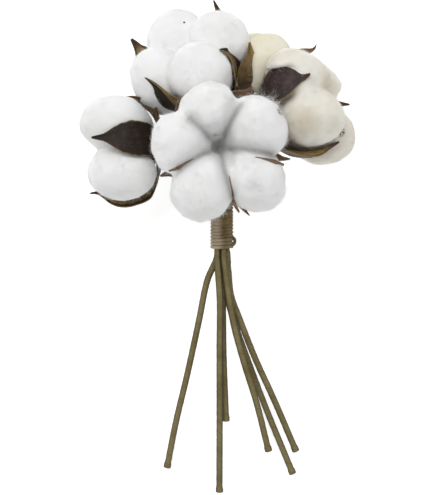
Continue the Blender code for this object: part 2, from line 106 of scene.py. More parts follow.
class Channel:
    """A number that varies over a surface, which adds, multiplies and subtracts as plain numbers do."""

    def __init__(self, paint: Paint, socket: bpy.types.NodeSocket) -> None:
        """Wraps a socket.

        Args:
            paint: The material under work.
            socket: The output that carries the number.
        """
        self.paint = paint
        self.socket = socket

    def _math(self, operation: str, first: object, second: object = 0.0) -> Channel:
        """One Math node.

        Args:
            operation: The node's operation.
            first: A channel or a number.
            second: A channel or a number.

        Returns:
            The result as a channel.
        """
        return self.paint.node("ShaderNodeMath", {"operation": operation}, {0: first, 1: second})

    def __add__(self, other: object) -> Channel:
        """The sum."""
        return self._math("ADD", self, other)

    __radd__ = __add__

    def __mul__(self, other: object) -> Channel:
        """The product."""
        return self._math("MULTIPLY", self, other)

    __rmul__ = __mul__

    def __sub__(self, other: object) -> Channel:
        """The difference."""
        return self._math("SUBTRACT", self, other)

    def __rsub__(self, other: object) -> Channel:
        """The difference, from a plain number."""
        return self._math("SUBTRACT", other, self)

    def wrapped(self) -> Channel:
        """The part behind the decimal point."""
        return self._math("FRACT", self)

    def ramp(self, low: float, high: float) -> Channel:
        """A smooth rise from 0 at one value to 1 at another.

        Args:
            low: The value that gives 0.
            high: The value that gives 1.

        Returns:
            The rise as a channel.
        """
        settings = {"interpolation_type": "SMOOTHSTEP"}
        return self.paint.node("ShaderNodeMapRange", settings, {"Value": self, "From Min": low, "From Max": high})


class Paint:
    """One Principled material under work."""

    def __init__(self, name: str) -> None:
        """Starts an empty material.

        Args:
            name: The material's name.
        """
        self.material = bpy.data.materials.new(name)
        self.material.use_nodes = True
        self.tree = self.material.node_tree
        self.shader = self.tree.nodes["Principled BSDF"]

    def plug(self, socket: bpy.types.NodeSocket, value: object) -> None:
        """Gives an input a channel or a plain value.

        Args:
            socket: The input.
            value: The channel, or the number, vector or colour.
        """
        if isinstance(value, Channel):
            self.tree.links.new(value.socket, socket)
        else:
            socket.default_value = value

    def node(
        self, kind: str, settings: dict | None = None, inputs: dict | None = None, output: str | int = 0
    ) -> Channel:
        """Adds any node.

        Args:
            kind: The node's type.
            settings: Its properties, which are set first.
            inputs: The values or channels of its sockets, by name or number.
            output: Which output to take.

        Returns:
            That output as a channel.
        """
        made = self.tree.nodes.new(kind)
        for key, value in (settings or {}).items():
            setattr(made, key, value)
        for key, value in (inputs or {}).items():
            self.plug(made.inputs[key], value)
        return Channel(self, made.outputs[output])

    def place(self) -> Channel:
        """The point on the piece, in metres."""
        return self.node("ShaderNodeTexCoord", output="Object")

    def axis(self, vector: Channel, which: str) -> Channel:
        """One part of a vector: X, Y or Z."""
        return self.node("ShaderNodeSeparateXYZ", {}, {0: vector}, which)

    def stretched(self, vector: Channel, scale: Point) -> Channel:
        """A vector with each part multiplied."""
        return self.node("ShaderNodeVectorMath", {"operation": "MULTIPLY"}, {0: vector, 1: scale})

    def mottle(self, vector: Channel, scale: float, detail: float = 3.0, roughness: float = 0.55) -> Channel:
        """Cloudy noise.

        Args:
            vector: Where it is read.
            scale: Clouds in a metre, or in one unit of the vector.
            detail: How many finer layers it has.
            roughness: How strong the finer layers are.

        Returns:
            The noise, from 0 to 1.
        """
        inputs = {"Vector": vector, "Scale": scale, "Detail": detail, "Roughness": roughness}
        return self.node("ShaderNodeTexNoise", {}, inputs, "Fac")

    def attribute(self, name: str) -> Channel:
        """A number stored on the mesh's points."""
        return self.node("ShaderNodeAttribute", {"attribute_name": name}, output="Fac")

    def blend(self, share: object, first: object, second: object) -> Channel:
        """A colour between two.

        Args:
            share: 0 for the first, 1 for the second.
            first: A colour or a channel.
            second: A colour or a channel.

        Returns:
            The colour as a channel.
        """
        return self.node("ShaderNodeMix", {"data_type": "RGBA"}, {0: share, 6: first, 7: second}, 2)

    def finish(
        self,
        colour: Channel,
        roughness: object,
        height: Channel | None,
        depth: float,
        sheen: float = 0.0,
        glow: float = 0.0,
    ) -> bpy.types.Material:
        """Joins everything to the shader.

        Args:
            colour: The base colour.
            roughness: A number or a channel.
            height: The fine relief from 0 to 1, if there is any.
            depth: The relief's depth in metres.
            sheen: How much soft sheen the surface has.
            glow: How much light spreads under the surface, as it does in a loose fluff.

        Returns:
            The finished material.
        """
        inputs = {
            "Base Color": colour, "Roughness": roughness, "Specular IOR Level": 0.3, "Sheen Weight": sheen,
            "Subsurface Weight": glow, "Subsurface Radius": (1.0, 1.0, 1.0), "Subsurface Scale": 3.0 * MM,
        }
        if height is not None:
            bump = {"Height": height, "Distance": depth, "Strength": 1.0}
            inputs["Normal"] = self.node("ShaderNodeBump", {}, bump)
        for name, value in inputs.items():
            self.plug(self.shader.inputs[name], value)
        return self.material


def colour(red: float, green: float, blue: float) -> Colour:
    """A colour from the 0 to 255 values that a colour picker shows."""
    return tuple(((value / 255.0 + 0.055) / 1.055) ** 2.4 for value in (red, green, blue)) + (1.0,)


class Tone(Enum):
    """The three shades of raw cotton in the bunch."""

    WHITE = "white"
    IVORY = "ivory"
    CREAM = "cream"


@dataclass(frozen=True)
class CottonFinish:
    """Loose raw cotton: matt, soft, faintly uneven in colour, with a few crumbs of dry leaf in it.

    A crumb is a point, its radius in millimetres and how thick it lies. A shade mark is a point, its radius in
    millimetres and its colour: painted shade, in places partly the cotton's own cream tone. The shadow is
    painted shade in the creases between the locks. Scales are in clouds to a metre.
    """

    name: str
    tone: Tone
    crumbs: tuple[tuple, ...] = ()
    shade_and_tone_marks: tuple[tuple, ...] = ()
    crumb: Colour = colour(84, 68, 52)
    # Painted shade in the creases between the locks, and how much of it is laid on
    shadow: Colour = colour(150, 149, 146)
    crease_shade_share: float = 0.75
    cloud_scale: float = 60.0
    tuft_scale: float = 520.0
    fine_scale: float = 1900.0
    relief: float = 0.12 * MM
    sheen: float = 0.25
    glow: float = 0.25

    @staticmethod
    def nearness(paint: Paint, place: Channel, centre: Vector, radius: float, soft: float) -> Channel:
        """How near the surface is to a point.

        Args:
            paint: The material under work.
            place: The point on the piece.
            centre: The point.
            radius: How far from it the mask ends, in metres.
            soft: The share of the radius over which it fades.

        Returns:
            The mask, 1 at the point and 0 beyond the radius.
        """
        inputs = {0: place, 1: tuple(centre)}
        away = paint.node("ShaderNodeVectorMath", {"operation": "DISTANCE"}, inputs, "Value")
        return 1.0 - away.ramp(radius * (1.0 - soft), radius)

    def material(self) -> bpy.types.Material:
        """The cotton's material.

        Returns:
            The finished material.
        """
        bright, dim = {
            Tone.WHITE: (colour(247, 247, 247), colour(242, 242, 241)),
            Tone.IVORY: (colour(244, 242, 234), colour(231, 225, 208)),
            Tone.CREAM: (colour(242, 238, 221), colour(230, 222, 196)),
        }[self.tone]
        paint = Paint("cotton_" + self.name)
        place = paint.place()
        clouds = paint.mottle(place, self.cloud_scale, 2.0).ramp(0.3, 0.75)
        tufts = paint.mottle(place, self.tuft_scale, 4.0, 0.6)
        fine = paint.mottle(place, self.fine_scale, 3.0, 0.6)
        whole = paint.blend(clouds, bright, dim)
        # Painted shade in the seams, darkest where they sink most
        whole = paint.blend(paint.attribute("crease") * self.crease_shade_share, whole, self.shadow)
        # Marks of painted shade: grey deep in the front boll's hollow, and beige on the right boll, partly its own
        # cream tone
        for centre, radius, shade_and_tone in self.shade_and_tone_marks:
            near = self.nearness(paint, place, centre, radius * MM, 0.95)
            whole = paint.blend(near * (tufts * 0.4 + 0.6), whole, shade_and_tone)
        for centre, radius, thick in self.crumbs:
            near = self.nearness(paint, place, centre, radius * MM, 0.7)
            whole = paint.blend((near * thick + fine - 0.5).ramp(0.3, 0.45), whole, self.crumb)
        return paint.finish(whole, 0.95, tufts * 0.6 + fine * 0.4, self.relief, self.sheen, self.glow)


@dataclass(frozen=True)
class BurFinish:
    """A dry bur valve: dark and ribbed outside, tan inside, with a dark band at its rim and a pale edge.

    The rim is how far from the midline the dark band starts, and the fade is the width over which it does,
    both in shares of half the valve's width. The tip is where the band closes over the valve's end, in
    shares of its length.
    """

    name: str
    skin: Colour = colour(30, 21, 14)
    patch: Colour = colour(54, 40, 28)
    lining: Colour = colour(158, 132, 84)
    shade: Colour = colour(104, 82, 48)
    rim: float = 0.5
    fade: float = 0.3
    tip: tuple[float, float] = (0.84, 0.95)
    rib_stretch: Point = (12.0, 1.2, 0.0)
    spot_scale: float = 300.0
    relief: float = 0.3 * MM

    def material(self) -> bpy.types.Material:
        """The bur's material, which reads the valve's own attributes.

        Returns:
            The finished material.
        """
        paint = Paint("bur_" + self.name)
        across = paint.node("ShaderNodeUVMap", {"uv_map": "UVMap"})
        inner = paint.attribute("inner").ramp(0.35, 0.65)
        side = paint.attribute("side")
        reach = paint.attribute("reach")
        ribs = paint.mottle(paint.stretched(across, self.rib_stretch), 2.0, 3.0, 0.6)
        spots = paint.mottle(paint.place(), self.spot_scale, 4.0, 0.6)
        outside = paint.blend((ribs * 0.35 + spots * 0.65).ramp(0.42, 0.72), self.skin, self.patch)
        inside = paint.blend((ribs * 0.5 + spots * 0.5).ramp(0.38, 0.66), self.lining, self.shade)
        worn = side + (spots - 0.5) * 0.35
        bare = (1.0 - worn.ramp(self.rim, self.rim + self.fade)) * (1.0 - reach.ramp(*self.tip))
        inside = paint.blend(bare, self.patch, inside)
        faces = paint.blend(inner, outside, inside)
        whole = paint.blend((side + (spots - 0.5) * 0.12).ramp(0.9, 1.0) * 0.65, faces, self.lining)
        return paint.finish(whole, 0.58 + inner * 0.2, ribs * 0.45 + spots * 0.55, self.relief)


@dataclass(frozen=True)
class TapeFinish:
    """Crinkled olive-brown floral tape, wound round a stem, with millimetres to a turn."""

    turn: float = 5.2
    green: Colour = colour(134, 123, 84)
    faded: Colour = colour(112, 99, 60)
    rubbed: Colour = colour(140, 129, 96)
    seam: Colour = colour(72, 62, 40)
    # Painted shade on the stem's sides and underside
    underside_shade: Colour = colour(56, 50, 28)
    crinkle_stretch: Point = (9.0, 1.6, 0.0)
    patch_scale: float = 90.0
    relief: float = 0.16 * MM

    def material(self) -> bpy.types.Material:
        """The tape's material, which reads the stem's length and girth from its UV map.

        Returns:
            The finished material.
        """
        paint = Paint("floral_tape")
        unrolled = paint.node("ShaderNodeUVMap", {"uv_map": "UVMap"})
        along = paint.axis(unrolled, "Y")
        round_it = paint.axis(unrolled, "X")
        wrap = (along * (1.0 / self.turn) + round_it).wrapped()
        seam = 1.0 - wrap.ramp(0.0, 0.14)
        crinkle = paint.mottle(paint.stretched(unrolled, self.crinkle_stretch), 1.0, 3.0, 0.6)
        patches = paint.mottle(paint.place(), self.patch_scale, 3.0, 0.6).ramp(0.35, 0.7)
        base = paint.blend(patches, self.green, self.faded)
        worn = paint.blend((crinkle * 0.9).ramp(0.42, 0.8), base, self.rubbed)
        whole = paint.blend(seam * 0.3, worn, self.seam)
        # Painted shade: darker where the stem faces sideways or down
        whole = paint.blend(paint.attribute("under").ramp(0.02, 0.65) * 0.8, whole, self.underside_shade)
        return paint.finish(whole, 0.72, crinkle * 0.5 + wrap * 0.5, self.relief)


@dataclass(frozen=True)
class TwineFinish:
    """Natural twine: pale and smooth on one side, olive on the other, and palest in its first turns.

    The olive side is partly the twine's own colour and partly painted shade. The first length, and the places
    across where that side begins and is full, are in millimetres.
    """

    name: str = "natural_twine"
    pale: Colour = colour(186, 168, 146)
    worn: Colour = colour(158, 140, 116)
    olive: Colour = colour(126, 108, 66)
    dark: Colour = colour(92, 74, 38)
    first: Colour = colour(178, 165, 138)
    first_length: float = 105.0
    olive_and_shade_side: tuple[float, float] = (-0.5, 3.6)
    strand_stretch: Point = (8.0, 0.35, 0.0)
    dust_scale: float = 230.0
    relief: float = 0.12 * MM

    def material(self) -> bpy.types.Material:
        """The twine's material.

        Returns:
            The finished material.
        """
        paint = Paint(self.name)
        place = paint.place()
        unrolled = paint.node("ShaderNodeUVMap", {"uv_map": "UVMap"})
        along = paint.axis(unrolled, "Y")
        strands = paint.mottle(paint.stretched(unrolled, self.strand_stretch), 1.0, 4.0, 0.65)
        dust = paint.mottle(place, self.dust_scale, 3.0, 0.6)
        begins, full = self.olive_and_shade_side
        # The olive side: partly the twine's own colour, partly painted shade on that side of the tie
        side = (paint.axis(place, "X") + (dust - 0.5) * (4.0 * MM)).ramp(begins * MM, full * MM)
        pale = paint.blend(strands.ramp(0.3, 0.75), self.pale, self.worn)
        olive = paint.blend((strands * 0.5 + dust * 0.5).ramp(0.35, 0.65), self.olive, self.dark)
        turned = paint.blend(side, pale, olive)
        opening = 1.0 - along.ramp(self.first_length * 0.93, self.first_length)
        whole = paint.blend(opening * (1.0 - side * 0.75) * 0.7, turned, self.first)
        return paint.finish(whole, 0.8, strands, self.relief, 0.1)


@dataclass(frozen=True)
class FloorFinish:
    """A plain pale table top, lit faintly from below."""

    shine: float = 0.6
    pale: Colour = (0.9, 0.9, 0.9, 1.0)
    dim: Colour = (0.88, 0.88, 0.88, 1.0)

    def material(self) -> bpy.types.Material:
        """The floor's material.

        Returns:
            The finished material.
        """
        paint = Paint("pale_floor")
        clouds = paint.mottle(paint.place(), 3.0, 2.0)
        paint.plug(paint.shader.inputs["Emission Color"], (1.0, 1.0, 1.0, 1.0))
        paint.plug(paint.shader.inputs["Emission Strength"], self.shine)
        return paint.finish(paint.blend(clouds, self.pale, self.dim), 0.9, None, 0.0)


# --------------------------------------------------------------------------------------------------
# Shapes


def deselect() -> None:
    """Leaves nothing selected, so that the next operator acts on its own piece alone."""
    if bpy.context.mode != "OBJECT":
        bpy.ops.object.mode_set(mode="OBJECT")
    bpy.ops.object.select_all(action="DESELECT")


def take_up(piece: bpy.types.Object) -> None:
    """Selects one piece and makes it the active one.

    Args:
        piece: The piece.
    """
    deselect()
    piece.select_set(True)
    bpy.context.view_layer.objects.active = piece


def edit_all(piece: bpy.types.Object, operator: Callable, **settings: object) -> None:
    """Runs one operator on the whole of a piece in edit mode.

    Args:
        piece: The piece, which stays taken up.
        operator: The operator.
        settings: The operator's settings.
    """
    take_up(piece)
    bpy.ops.object.mode_set(mode="EDIT")
    bpy.ops.mesh.select_all(action="SELECT")
    operator(**settings)
    bpy.ops.object.mode_set(mode="OBJECT")


def points_of(piece: bpy.types.Object) -> np.ndarray:
    """The points of a piece's mesh.

    Args:
        piece: The piece.

    Returns:
        The points, one row each.
    """
    points = np.empty(len(piece.data.vertices) * 3)
    piece.data.vertices.foreach_get("co", points)
    return points.reshape(-1, 3)


def set_points(piece: bpy.types.Object, points: np.ndarray) -> None:
    """Moves the points of a piece's mesh.

    Args:
        piece: The piece.
        points: The new points, one row each.
    """
    piece.data.vertices.foreach_set("co", np.ascontiguousarray(points, np.float64).ravel())
    piece.data.update()


def mark(piece: bpy.types.Object, **marks: np.ndarray) -> None:
    """Stores numbers on a piece's points, which its material reads.

    Args:
        piece: The piece.
        marks: The numbers under their names, one for each point.
    """
    for name, values in marks.items():
        stored = piece.data.attributes.new(name, "FLOAT", "POINT")
        stored.data.foreach_set("value", np.ascontiguousarray(values, np.float32))


def above_table(points: np.ndarray) -> np.ndarray:
    """Lifts the points that would sink into the table."""
    points[:, 2] = np.maximum(points[:, 2], FLOOR_ROOM)
    return points


def top_of(tree: BVHTree, over: Vector) -> Vector | None:
    """The first point of a surface straight below a place, if there is one."""
    return tree.ray_cast(over, Vector((0.0, 0.0, -1.0)))[0]


def ease(share: np.ndarray | float) -> np.ndarray | float:
    """A smooth rise from 0 to 1."""
    return share * share * (3.0 - 2.0 * share)


def lengths(line: np.ndarray) -> np.ndarray:
    """How far along a line each of its points is, in millimetres."""
    return np.concatenate([[0.0], np.cumsum(np.linalg.norm(np.diff(line, axis=0), axis=1))]) / MM


def tube_faces(rings: int, sides: int) -> list[tuple[int, ...]]:
    """The faces of a tube, without its two ends.

    Args:
        rings: How many rings of points it has.
        sides: How many points are in a ring.

    Returns:
        The faces, as tuples of point numbers.
    """
    return [
        (ring + side, ring + after, ring + sides + after, ring + sides + side)
        for ring in range(0, (rings - 1) * sides, sides)
        for side, after in enumerate([*range(1, sides), 0])
    ]


def new_piece(name: str, points: np.ndarray, faces: list) -> bpy.types.Object:
    """A mesh piece in the scene.

    Args:
        name: The piece's name.
        points: Its points, one row each.
        faces: Its faces, as tuples of point numbers.

    Returns:
        The piece.
    """
    mesh = bpy.data.meshes.new(name)
    mesh.from_pydata(np.asarray(points).tolist(), [], faces)
    piece = bpy.data.objects.new(name, mesh)
    bpy.context.scene.collection.objects.link(piece)
    return piece


def join(pieces: list[bpy.types.Object], name: str) -> bpy.types.Object:
    """Makes several pieces one.

    Args:
        pieces: The pieces, the first of which stays.
        name: The new name.

    Returns:
        The joined piece.
    """
    take_up(pieces[0])
    for piece in pieces[1:]:
        piece.select_set(True)
    bpy.ops.object.join()
    joined = bpy.context.view_layer.objects.active
    joined.name = name
    joined.data.name = name
    return joined


def smooth_line(points: list[Vector], step: float) -> np.ndarray:
    """A smooth curve through way points, cut in even steps.

    Args:
        points: The way points.
        step: The length of a step.

    Returns:
        The curve's points, one row each.
    """
    reaches = [(after - here).length for here, after in zip(points, points[1:])]
    tangents = [(points[1] - points[0]) / reaches[0]]
    for before, here, after, low, high in zip(points, points[1:], points[2:], reaches, reaches[1:]):
        tangents.append(((here - before) * (high / low) + (after - here) * (low / high)) / (low + high))
    tangents.append((points[-1] - points[-2]) / reaches[-1])
    line = []
    for spot, reach in enumerate(reaches):
        pieces = max(round(reach / step), 1)
        for part in range(pieces):
            t = part / pieces
            place = points[spot] * (2 * t**3 - 3 * t * t + 1) + points[spot + 1] * (3 * t * t - 2 * t**3)
            place += tangents[spot] * reach * (t**3 - 2 * t * t + t) + tangents[spot + 1] * reach * (t**3 - t * t)
            line.append(place)
    return np.array(line + [points[-1]])


@dataclass
class Sweep:
    """A round section carried along a line, with its own relief, closed by a dome at each end.

    The radius is one number, or one row of them, for each point of the line, in metres. The dome is the
    height of the two ends as a share of the radius there.
    """

    line: np.ndarray
    radius: np.ndarray
    sides: int
    dome: float = 0.25

    def frames(self) -> tuple[np.ndarray, np.ndarray]:
        """Two directions across the line at each of its points, which never twist.

        Returns:
            The two rows of directions.
        """
        ways = np.gradient(self.line, axis=0)
        ways /= np.linalg.norm(ways, axis=1)[:, None]
        first = np.cross(ways[0], (0.0, 0.0, 1.0))
        if np.linalg.norm(first) < 0.1:
            first = np.cross(ways[0], (1.0, 0.0, 0.0))
        sides = [first / np.linalg.norm(first)]
        for way in ways[1:]:
            side = sides[-1] - way * np.dot(sides[-1], way)
            sides.append(side / np.linalg.norm(side))
        sides = np.array(sides)
        return sides, np.cross(ways, sides)

    def build(self, name: str) -> bpy.types.Object:
        """Makes the swept piece, with its girth and its length in millimetres as UV map.

        Args:
            name: The piece's name.

        Returns:
            The piece.
        """
        count, sides = len(self.line), self.sides
        one, two = self.frames()
        angle = 2.0 * np.pi * np.arange(sides) / sides
        radius = self.radius if self.radius.ndim == 2 else np.repeat(self.radius[:, None], sides, axis=1)
        out = one[:, None, :] * np.cos(angle)[None, :, None] + two[:, None, :] * np.sin(angle)[None, :, None]
        rings = self.line[:, None, :] + out * radius[:, :, None]
        domes = []
        for end, near in ((0, 1), (-1, -2)):
            way = self.line[end] - self.line[near]
            domes.append(self.line[end] + way / np.linalg.norm(way) * radius[end].mean() * self.dome)
        faces = tube_faces(count, sides)
        reach = lengths(self.line)
        uvs = []
        for low, high in zip(reach, reach[1:]):
            for side in range(sides):
                left, right = side / sides, (side + 1) / sides
                uvs += [(left, low), (right, low), (right, high), (left, high)]
        tip, ring = count * sides, (count - 1) * sides
        for side in range(sides):
            after = (side + 1) % sides
            faces += [(tip, after, side), (tip + 1, ring + side, ring + after)]
            uvs += [(side / sides, 0.0)] * 3 + [(side / sides, reach[-1])] * 3
        piece = new_piece(name, np.vstack([rings.reshape(-1, 3), *domes]), faces)
        piece.data.uv_layers.new(name="UVMap").data.foreach_set("uv", np.array(uvs).ravel())
        edit_all(piece, bpy.ops.mesh.normals_make_consistent, inside=False)
        bpy.ops.object.shade_smooth()
        return piece


@dataclass(frozen=True)
class Drawing:
    """The drawing of the bunch, whose place follows from the tie's box."""

    shift: Vector

    @staticmethod
    def of_tie() -> Drawing:
        """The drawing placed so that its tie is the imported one.

        Returns:
            The placed drawing.
        """
        low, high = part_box("twine_tie")
        middle = ((low.x + high.x) / 2 - TIE_X * MM, low.y - TIE_BOTTOM * MM, (low.z + high.z) / 2 - TIE_Z * MM)
        return Drawing(Vector(middle))

    def at(self, x: float, y: float, z: float) -> Vector:
        """A point of the drawing, given in millimetres."""
        return Vector((x, y, z)) * MM + self.shift


def present(piece: bpy.types.Object, material: bpy.types.Material, slot: str, *nodes: str) -> None:
    """Dresses a finished piece, lets it stand for its solids, and ties it to the bunch.

    Args:
        piece: The piece.
        material: Its material.
        slot: The name of the record's material slot for its finish; it is not used.
        nodes: The solids that it stands for.
    """
    piece.data.materials.clear()
    piece.data.materials.append(material)
    if nodes:
        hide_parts(*nodes)
    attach(piece, BODY)
    piece.data.calc_loop_triangles()
    triangles = len(piece.data.loop_triangles)
    LOG.info("%s: %d triangles, stands for %s", piece.name, triangles, ", ".join(nodes) or "nothing")


# --------------------------------------------------------------------------------------------------
# Cotton


class HardParts:
    """The burs, stems and tie that loose fibres keep clear of."""

    _tree: BVHTree | None = None

    @classmethod
    def tree(cls) -> BVHTree:
        """A search tree of every bur, stem and tie solid.

        Returns:
            The tree, made once.
        """
        if cls._tree is None:
            points, faces = [], []
            for name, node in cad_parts.items():
                if "cotton" in name:
                    continue
                start = len(points)
                points += [vertex.co.copy() for vertex in node.data.vertices]
                faces += [tuple(start + corner for corner in face.vertices) for face in node.data.polygons]
            cls._tree = BVHTree.FromPolygons(points, faces)
        return cls._tree


@dataclass
class CottonBoll:
    """The cotton of one boll: soft lumpy locks with a down of loose fibres.

    Places in the drawing, and the reaches, radii and depths given with them, are in millimetres, and ways
    are azimuths in degrees.

    Crumbs are places, radii and thicknesses. Shade marks are places, radii and colours: painted shade, in places
    partly the cotton's own cream tone. Lumps are counts to a metre and heights. The hollow is a place, a radius
    and a depth. Seams run out of it: ways, reaches and depths; painted shade darkens them as well.
    The press is a way, the place along it where it starts and the share of what lies beyond that is kept.
    The wild fibres are longer and stand up more: a place and a radius.
    """

    node: str
    tone: Tone
    seed: int
    fibres: int
    crumbs: tuple[tuple[float, float, float, float], ...] = ()
    shade_and_tone_marks: tuple[tuple, ...] = ()
    voxel: float = 0.9 * MM
    soften: int = 70
    plump: float = 1.0 * MM
    lumps: tuple[tuple[float, float], ...] = ((48.0, 1.9), (110.0, 0.7), (300.0, 0.1))
    hollow: tuple[float, float, float, float] | None = None
    seams: tuple[Point, ...] = ()
    seam_width: float = 2.6
    seam_start: float = 6.0
    seam_end: float = 4.0
    crease_power: float = 2.5
    press: Point | None = None
    wild: Point | None = None
    wild_length: float = 1.2
    wild_lift: float = 1.5
    fibre_length: tuple[float, float] = (1.6 * MM, 5.4 * MM)
    fibre_width: float = 0.034 * MM
    fibre_root: float = 0.15 * MM
    fibre_stray: float = 0.22
    fibre_bend: float = 0.3
    fibre_lift: tuple[float, float] = (0.05, 0.45)
    fibre_stations: tuple[float, ...] = (0.0, 0.38, 0.72, 1.0)
    comb_scale: float = 90.0
    comb_shifts: Point = (0.0, 17.3, 41.9)
    husk_room: float = 3.5 * MM
    table_room: float = 0.6 * MM

    def base(self) -> bpy.types.Object:
        """The body of the cotton, remeshed evenly from its solid and softened.

        Returns:
            The piece.
        """
        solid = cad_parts[self.node]
        piece = bpy.data.objects.new(self.node + "_down", solid.data.copy())
        bpy.context.scene.collection.objects.link(piece)
        edit_all(piece, bpy.ops.mesh.remove_doubles, threshold=0.01 * MM)
        piece.data.remesh_voxel_size = self.voxel
        bpy.ops.object.voxel_remesh()
        soft = piece.modifiers.new("soften", "SMOOTH")
        soft.factor = 0.5
        soft.iterations = self.soften
        bpy.ops.object.modifier_apply(modifier=soft.name)
        return piece

    def tease(self, piece: bpy.types.Object, drawing: Drawing) -> None:
        """Raises the soft lumps of pulled fibre, and flattens and sinks what is pressed and hollow.

        Args:
            piece: The softened cotton.
            drawing: The placed drawing.
        """
        points = points_of(piece)
        normals = np.empty(points.size)
        piece.data.vertices.foreach_get("normal", normals)
        normals = normals.reshape(-1, 3)
        offset = Vector((self.seed * 0.37, self.seed * 0.11, 0.0))
        rise = np.empty(len(points))
        for spot, point in enumerate(points):
            here = Vector(point)
            rise[spot] = sum(noise.noise(here * scale + offset) * height * MM for scale, height in self.lumps)
        points = points + normals * (rise + self.plump)[:, None]
        if self.press:
            turn, start, keep = self.press
            way = np.array([math.cos(math.radians(turn)), math.sin(math.radians(turn)), 0.0])
            beyond = (points - np.array(drawing.shift)) @ way - start * MM
            points -= np.maximum(beyond, 0.0)[:, None] * (1.0 - keep) * (way / way.dot(way))[None]
        crease = self.sink(points, normals[:, 2] > 0.0, drawing) if self.hollow else np.zeros(len(points))
        set_points(piece, above_table(points))
        # The crease mark sets how much painted shade each point gets in the seams
        mark(piece, crease=crease)

    def sink(self, points: np.ndarray, upper: np.ndarray, drawing: Drawing) -> np.ndarray:
        """Sinks the hollow between the locks and the seams that run out of it.

        Args:
            points: The cotton's points, which are moved.
            upper: Which of them face up.
            drawing: The placed drawing.

        Returns:
            How deep in a seam each point is, from 0 to 1, which sets the painted shade there.
        """
        x, y, radius, depth = self.hollow
        centre = drawing.at(x, y, 0.0)
        away = np.hypot(points[:, 0] - centre.x, points[:, 1] - centre.y) / (radius * MM)
        points[:, 2] -= ease(np.clip(1.0 - away, 0.0, 1.0) * upper) * depth * MM
        x, y = (points[:, 0] - centre.x) / MM, (points[:, 1] - centre.y) / MM
        crease = np.zeros(len(points))
        for azimuth, reach, deep in self.seams:
            way = math.radians(azimuth)
            along = x * math.cos(way) + y * math.sin(way)
            aside = np.abs(y * math.cos(way) - x * math.sin(way)) / self.seam_width
            near = np.clip(along / self.seam_start, 0.0, 1.0) * np.clip((reach - along) / self.seam_end, 0.0, 1.0)
            fold = np.exp(-aside * aside) * (near * upper)
            points[:, 2] -= fold * deep * MM
            crease = np.maximum(crease, fold**self.crease_power)
        return crease

    def roots(self, piece: bpy.types.Object, chance: np.random.Generator) -> tuple[np.ndarray, np.ndarray]:
        """The points that fibres grow from, where neither a bur nor a stem nor the table is near.

        Args:
            piece: The cotton.
            chance: The source of random numbers.

        Returns:
            The points and the surface's directions there.
        """
        mesh = piece.data
        mesh.calc_loop_triangles()
        corners = np.empty(len(mesh.loop_triangles) * 3, np.int32)
        mesh.loop_triangles.foreach_get("vertices", corners)
        corners = points_of(piece)[corners.reshape(-1, 3)]
        cross = np.cross(corners[:, 1] - corners[:, 0], corners[:, 2] - corners[:, 0])
        area = np.linalg.norm(cross, axis=1)
        picked = chance.choice(len(corners), self.fibres, p=area / area.sum())
        mix = chance.random((self.fibres, 2))
        mix[mix.sum(1) > 1.0] = 1.0 - mix[mix.sum(1) > 1.0]
        face = corners[picked]
        roots = face[:, 0] + (face[:, 1] - face[:, 0]) * mix[:, :1] + (face[:, 2] - face[:, 0]) * mix[:, 1:]
        normals = cross[picked] / area[picked][:, None]
        hard = HardParts.tree()
        free = [
            hard.ray_cast(Vector(root) - Vector(normal) * MM, Vector(normal), self.husk_room)[0] is None
            for root, normal in zip(roots, normals)
        ]
        free = np.array(free) & (roots[:, 2] > self.table_room)
        return roots[free], normals[free]

    def comb(self, roots: np.ndarray, normals: np.ndarray, chance: np.random.Generator) -> np.ndarray:
        """The directions in which fibres lie along the cotton, much the same for neighbours.

        Args:
            roots: The points that they grow from.
            normals: The surface's directions there.
            chance: The source of random numbers.

        Returns:
            The directions, one row each.
        """
        grain = [
            [noise.noise(Vector(root) * self.comb_scale + Vector((shift, 0.0, 0.0))) for shift in self.comb_shifts]
            for root in roots
        ]
        ways = np.array(grain) + chance.normal(0.0, self.fibre_stray, (len(roots), 3))
        ways -= normals * (ways * normals).sum(1)[:, None]
        return ways / (np.linalg.norm(ways, axis=1)[:, None] + 1e-9)

    def down(self, piece: bpy.types.Object, drawing: Drawing) -> bpy.types.Object:
        """Thousands of curved loose fibres over the cotton, none of which crosses a bur or a stem.

        They are built as one mesh from numbers, because no operator lays this many fibres.

        Args:
            piece: The cotton that they grow from.
            drawing: The placed drawing.

        Returns:
            The fibres as one piece.
        """
        chance = np.random.default_rng(self.seed)
        roots, normals = self.roots(piece, chance)
        count = len(roots)
        comb = self.comb(roots, normals, chance)
        side = np.cross(normals, comb)
        low, high = self.fibre_length
        length = (low + (high - low) * chance.random(count) ** 1.6)[:, None]
        least, more = self.fibre_lift
        lift = (least + more * chance.random(count) ** 2.5)[:, None]
        if self.wild:
            x, y, radius = self.wild
            centre = drawing.at(x, y, 0.0)
            away = np.hypot(roots[:, 0] - centre.x, roots[:, 1] - centre.y) / (radius * MM)
            wild = np.clip(1.0 - away, 0.0, 1.0)[:, None]
            length, lift = length * (1.0 + self.wild_length * wild), lift * (1.0 + self.wild_lift * wild)
        bend = chance.normal(0.0, self.fibre_bend, (count, 1))
        stations = []
        for share in self.fibre_stations:
            way = comb * share + side * bend * share * share + normals * lift * share**1.3
            stations.append(roots + way * length - normals * self.fibre_root)
        width = self.fibre_width * (0.7 + 0.6 * chance.random(count))
        root, thick, thin, tip = stations
        rows = [root[:, None, :]]
        turns = (0.5, 2.6, 4.7)
        for station, share in ((thick, 1.0), (thin, 0.8)):
            girth = (width * share)[:, None]
            ring = [station + (side * math.cos(turn) + normals * math.sin(turn)) * girth for turn in turns]
            rows.append(np.stack(ring, axis=1))
        rows.append(tip[:, None, :])
        points = above_table(np.concatenate(rows, axis=1).reshape(-1, 3))
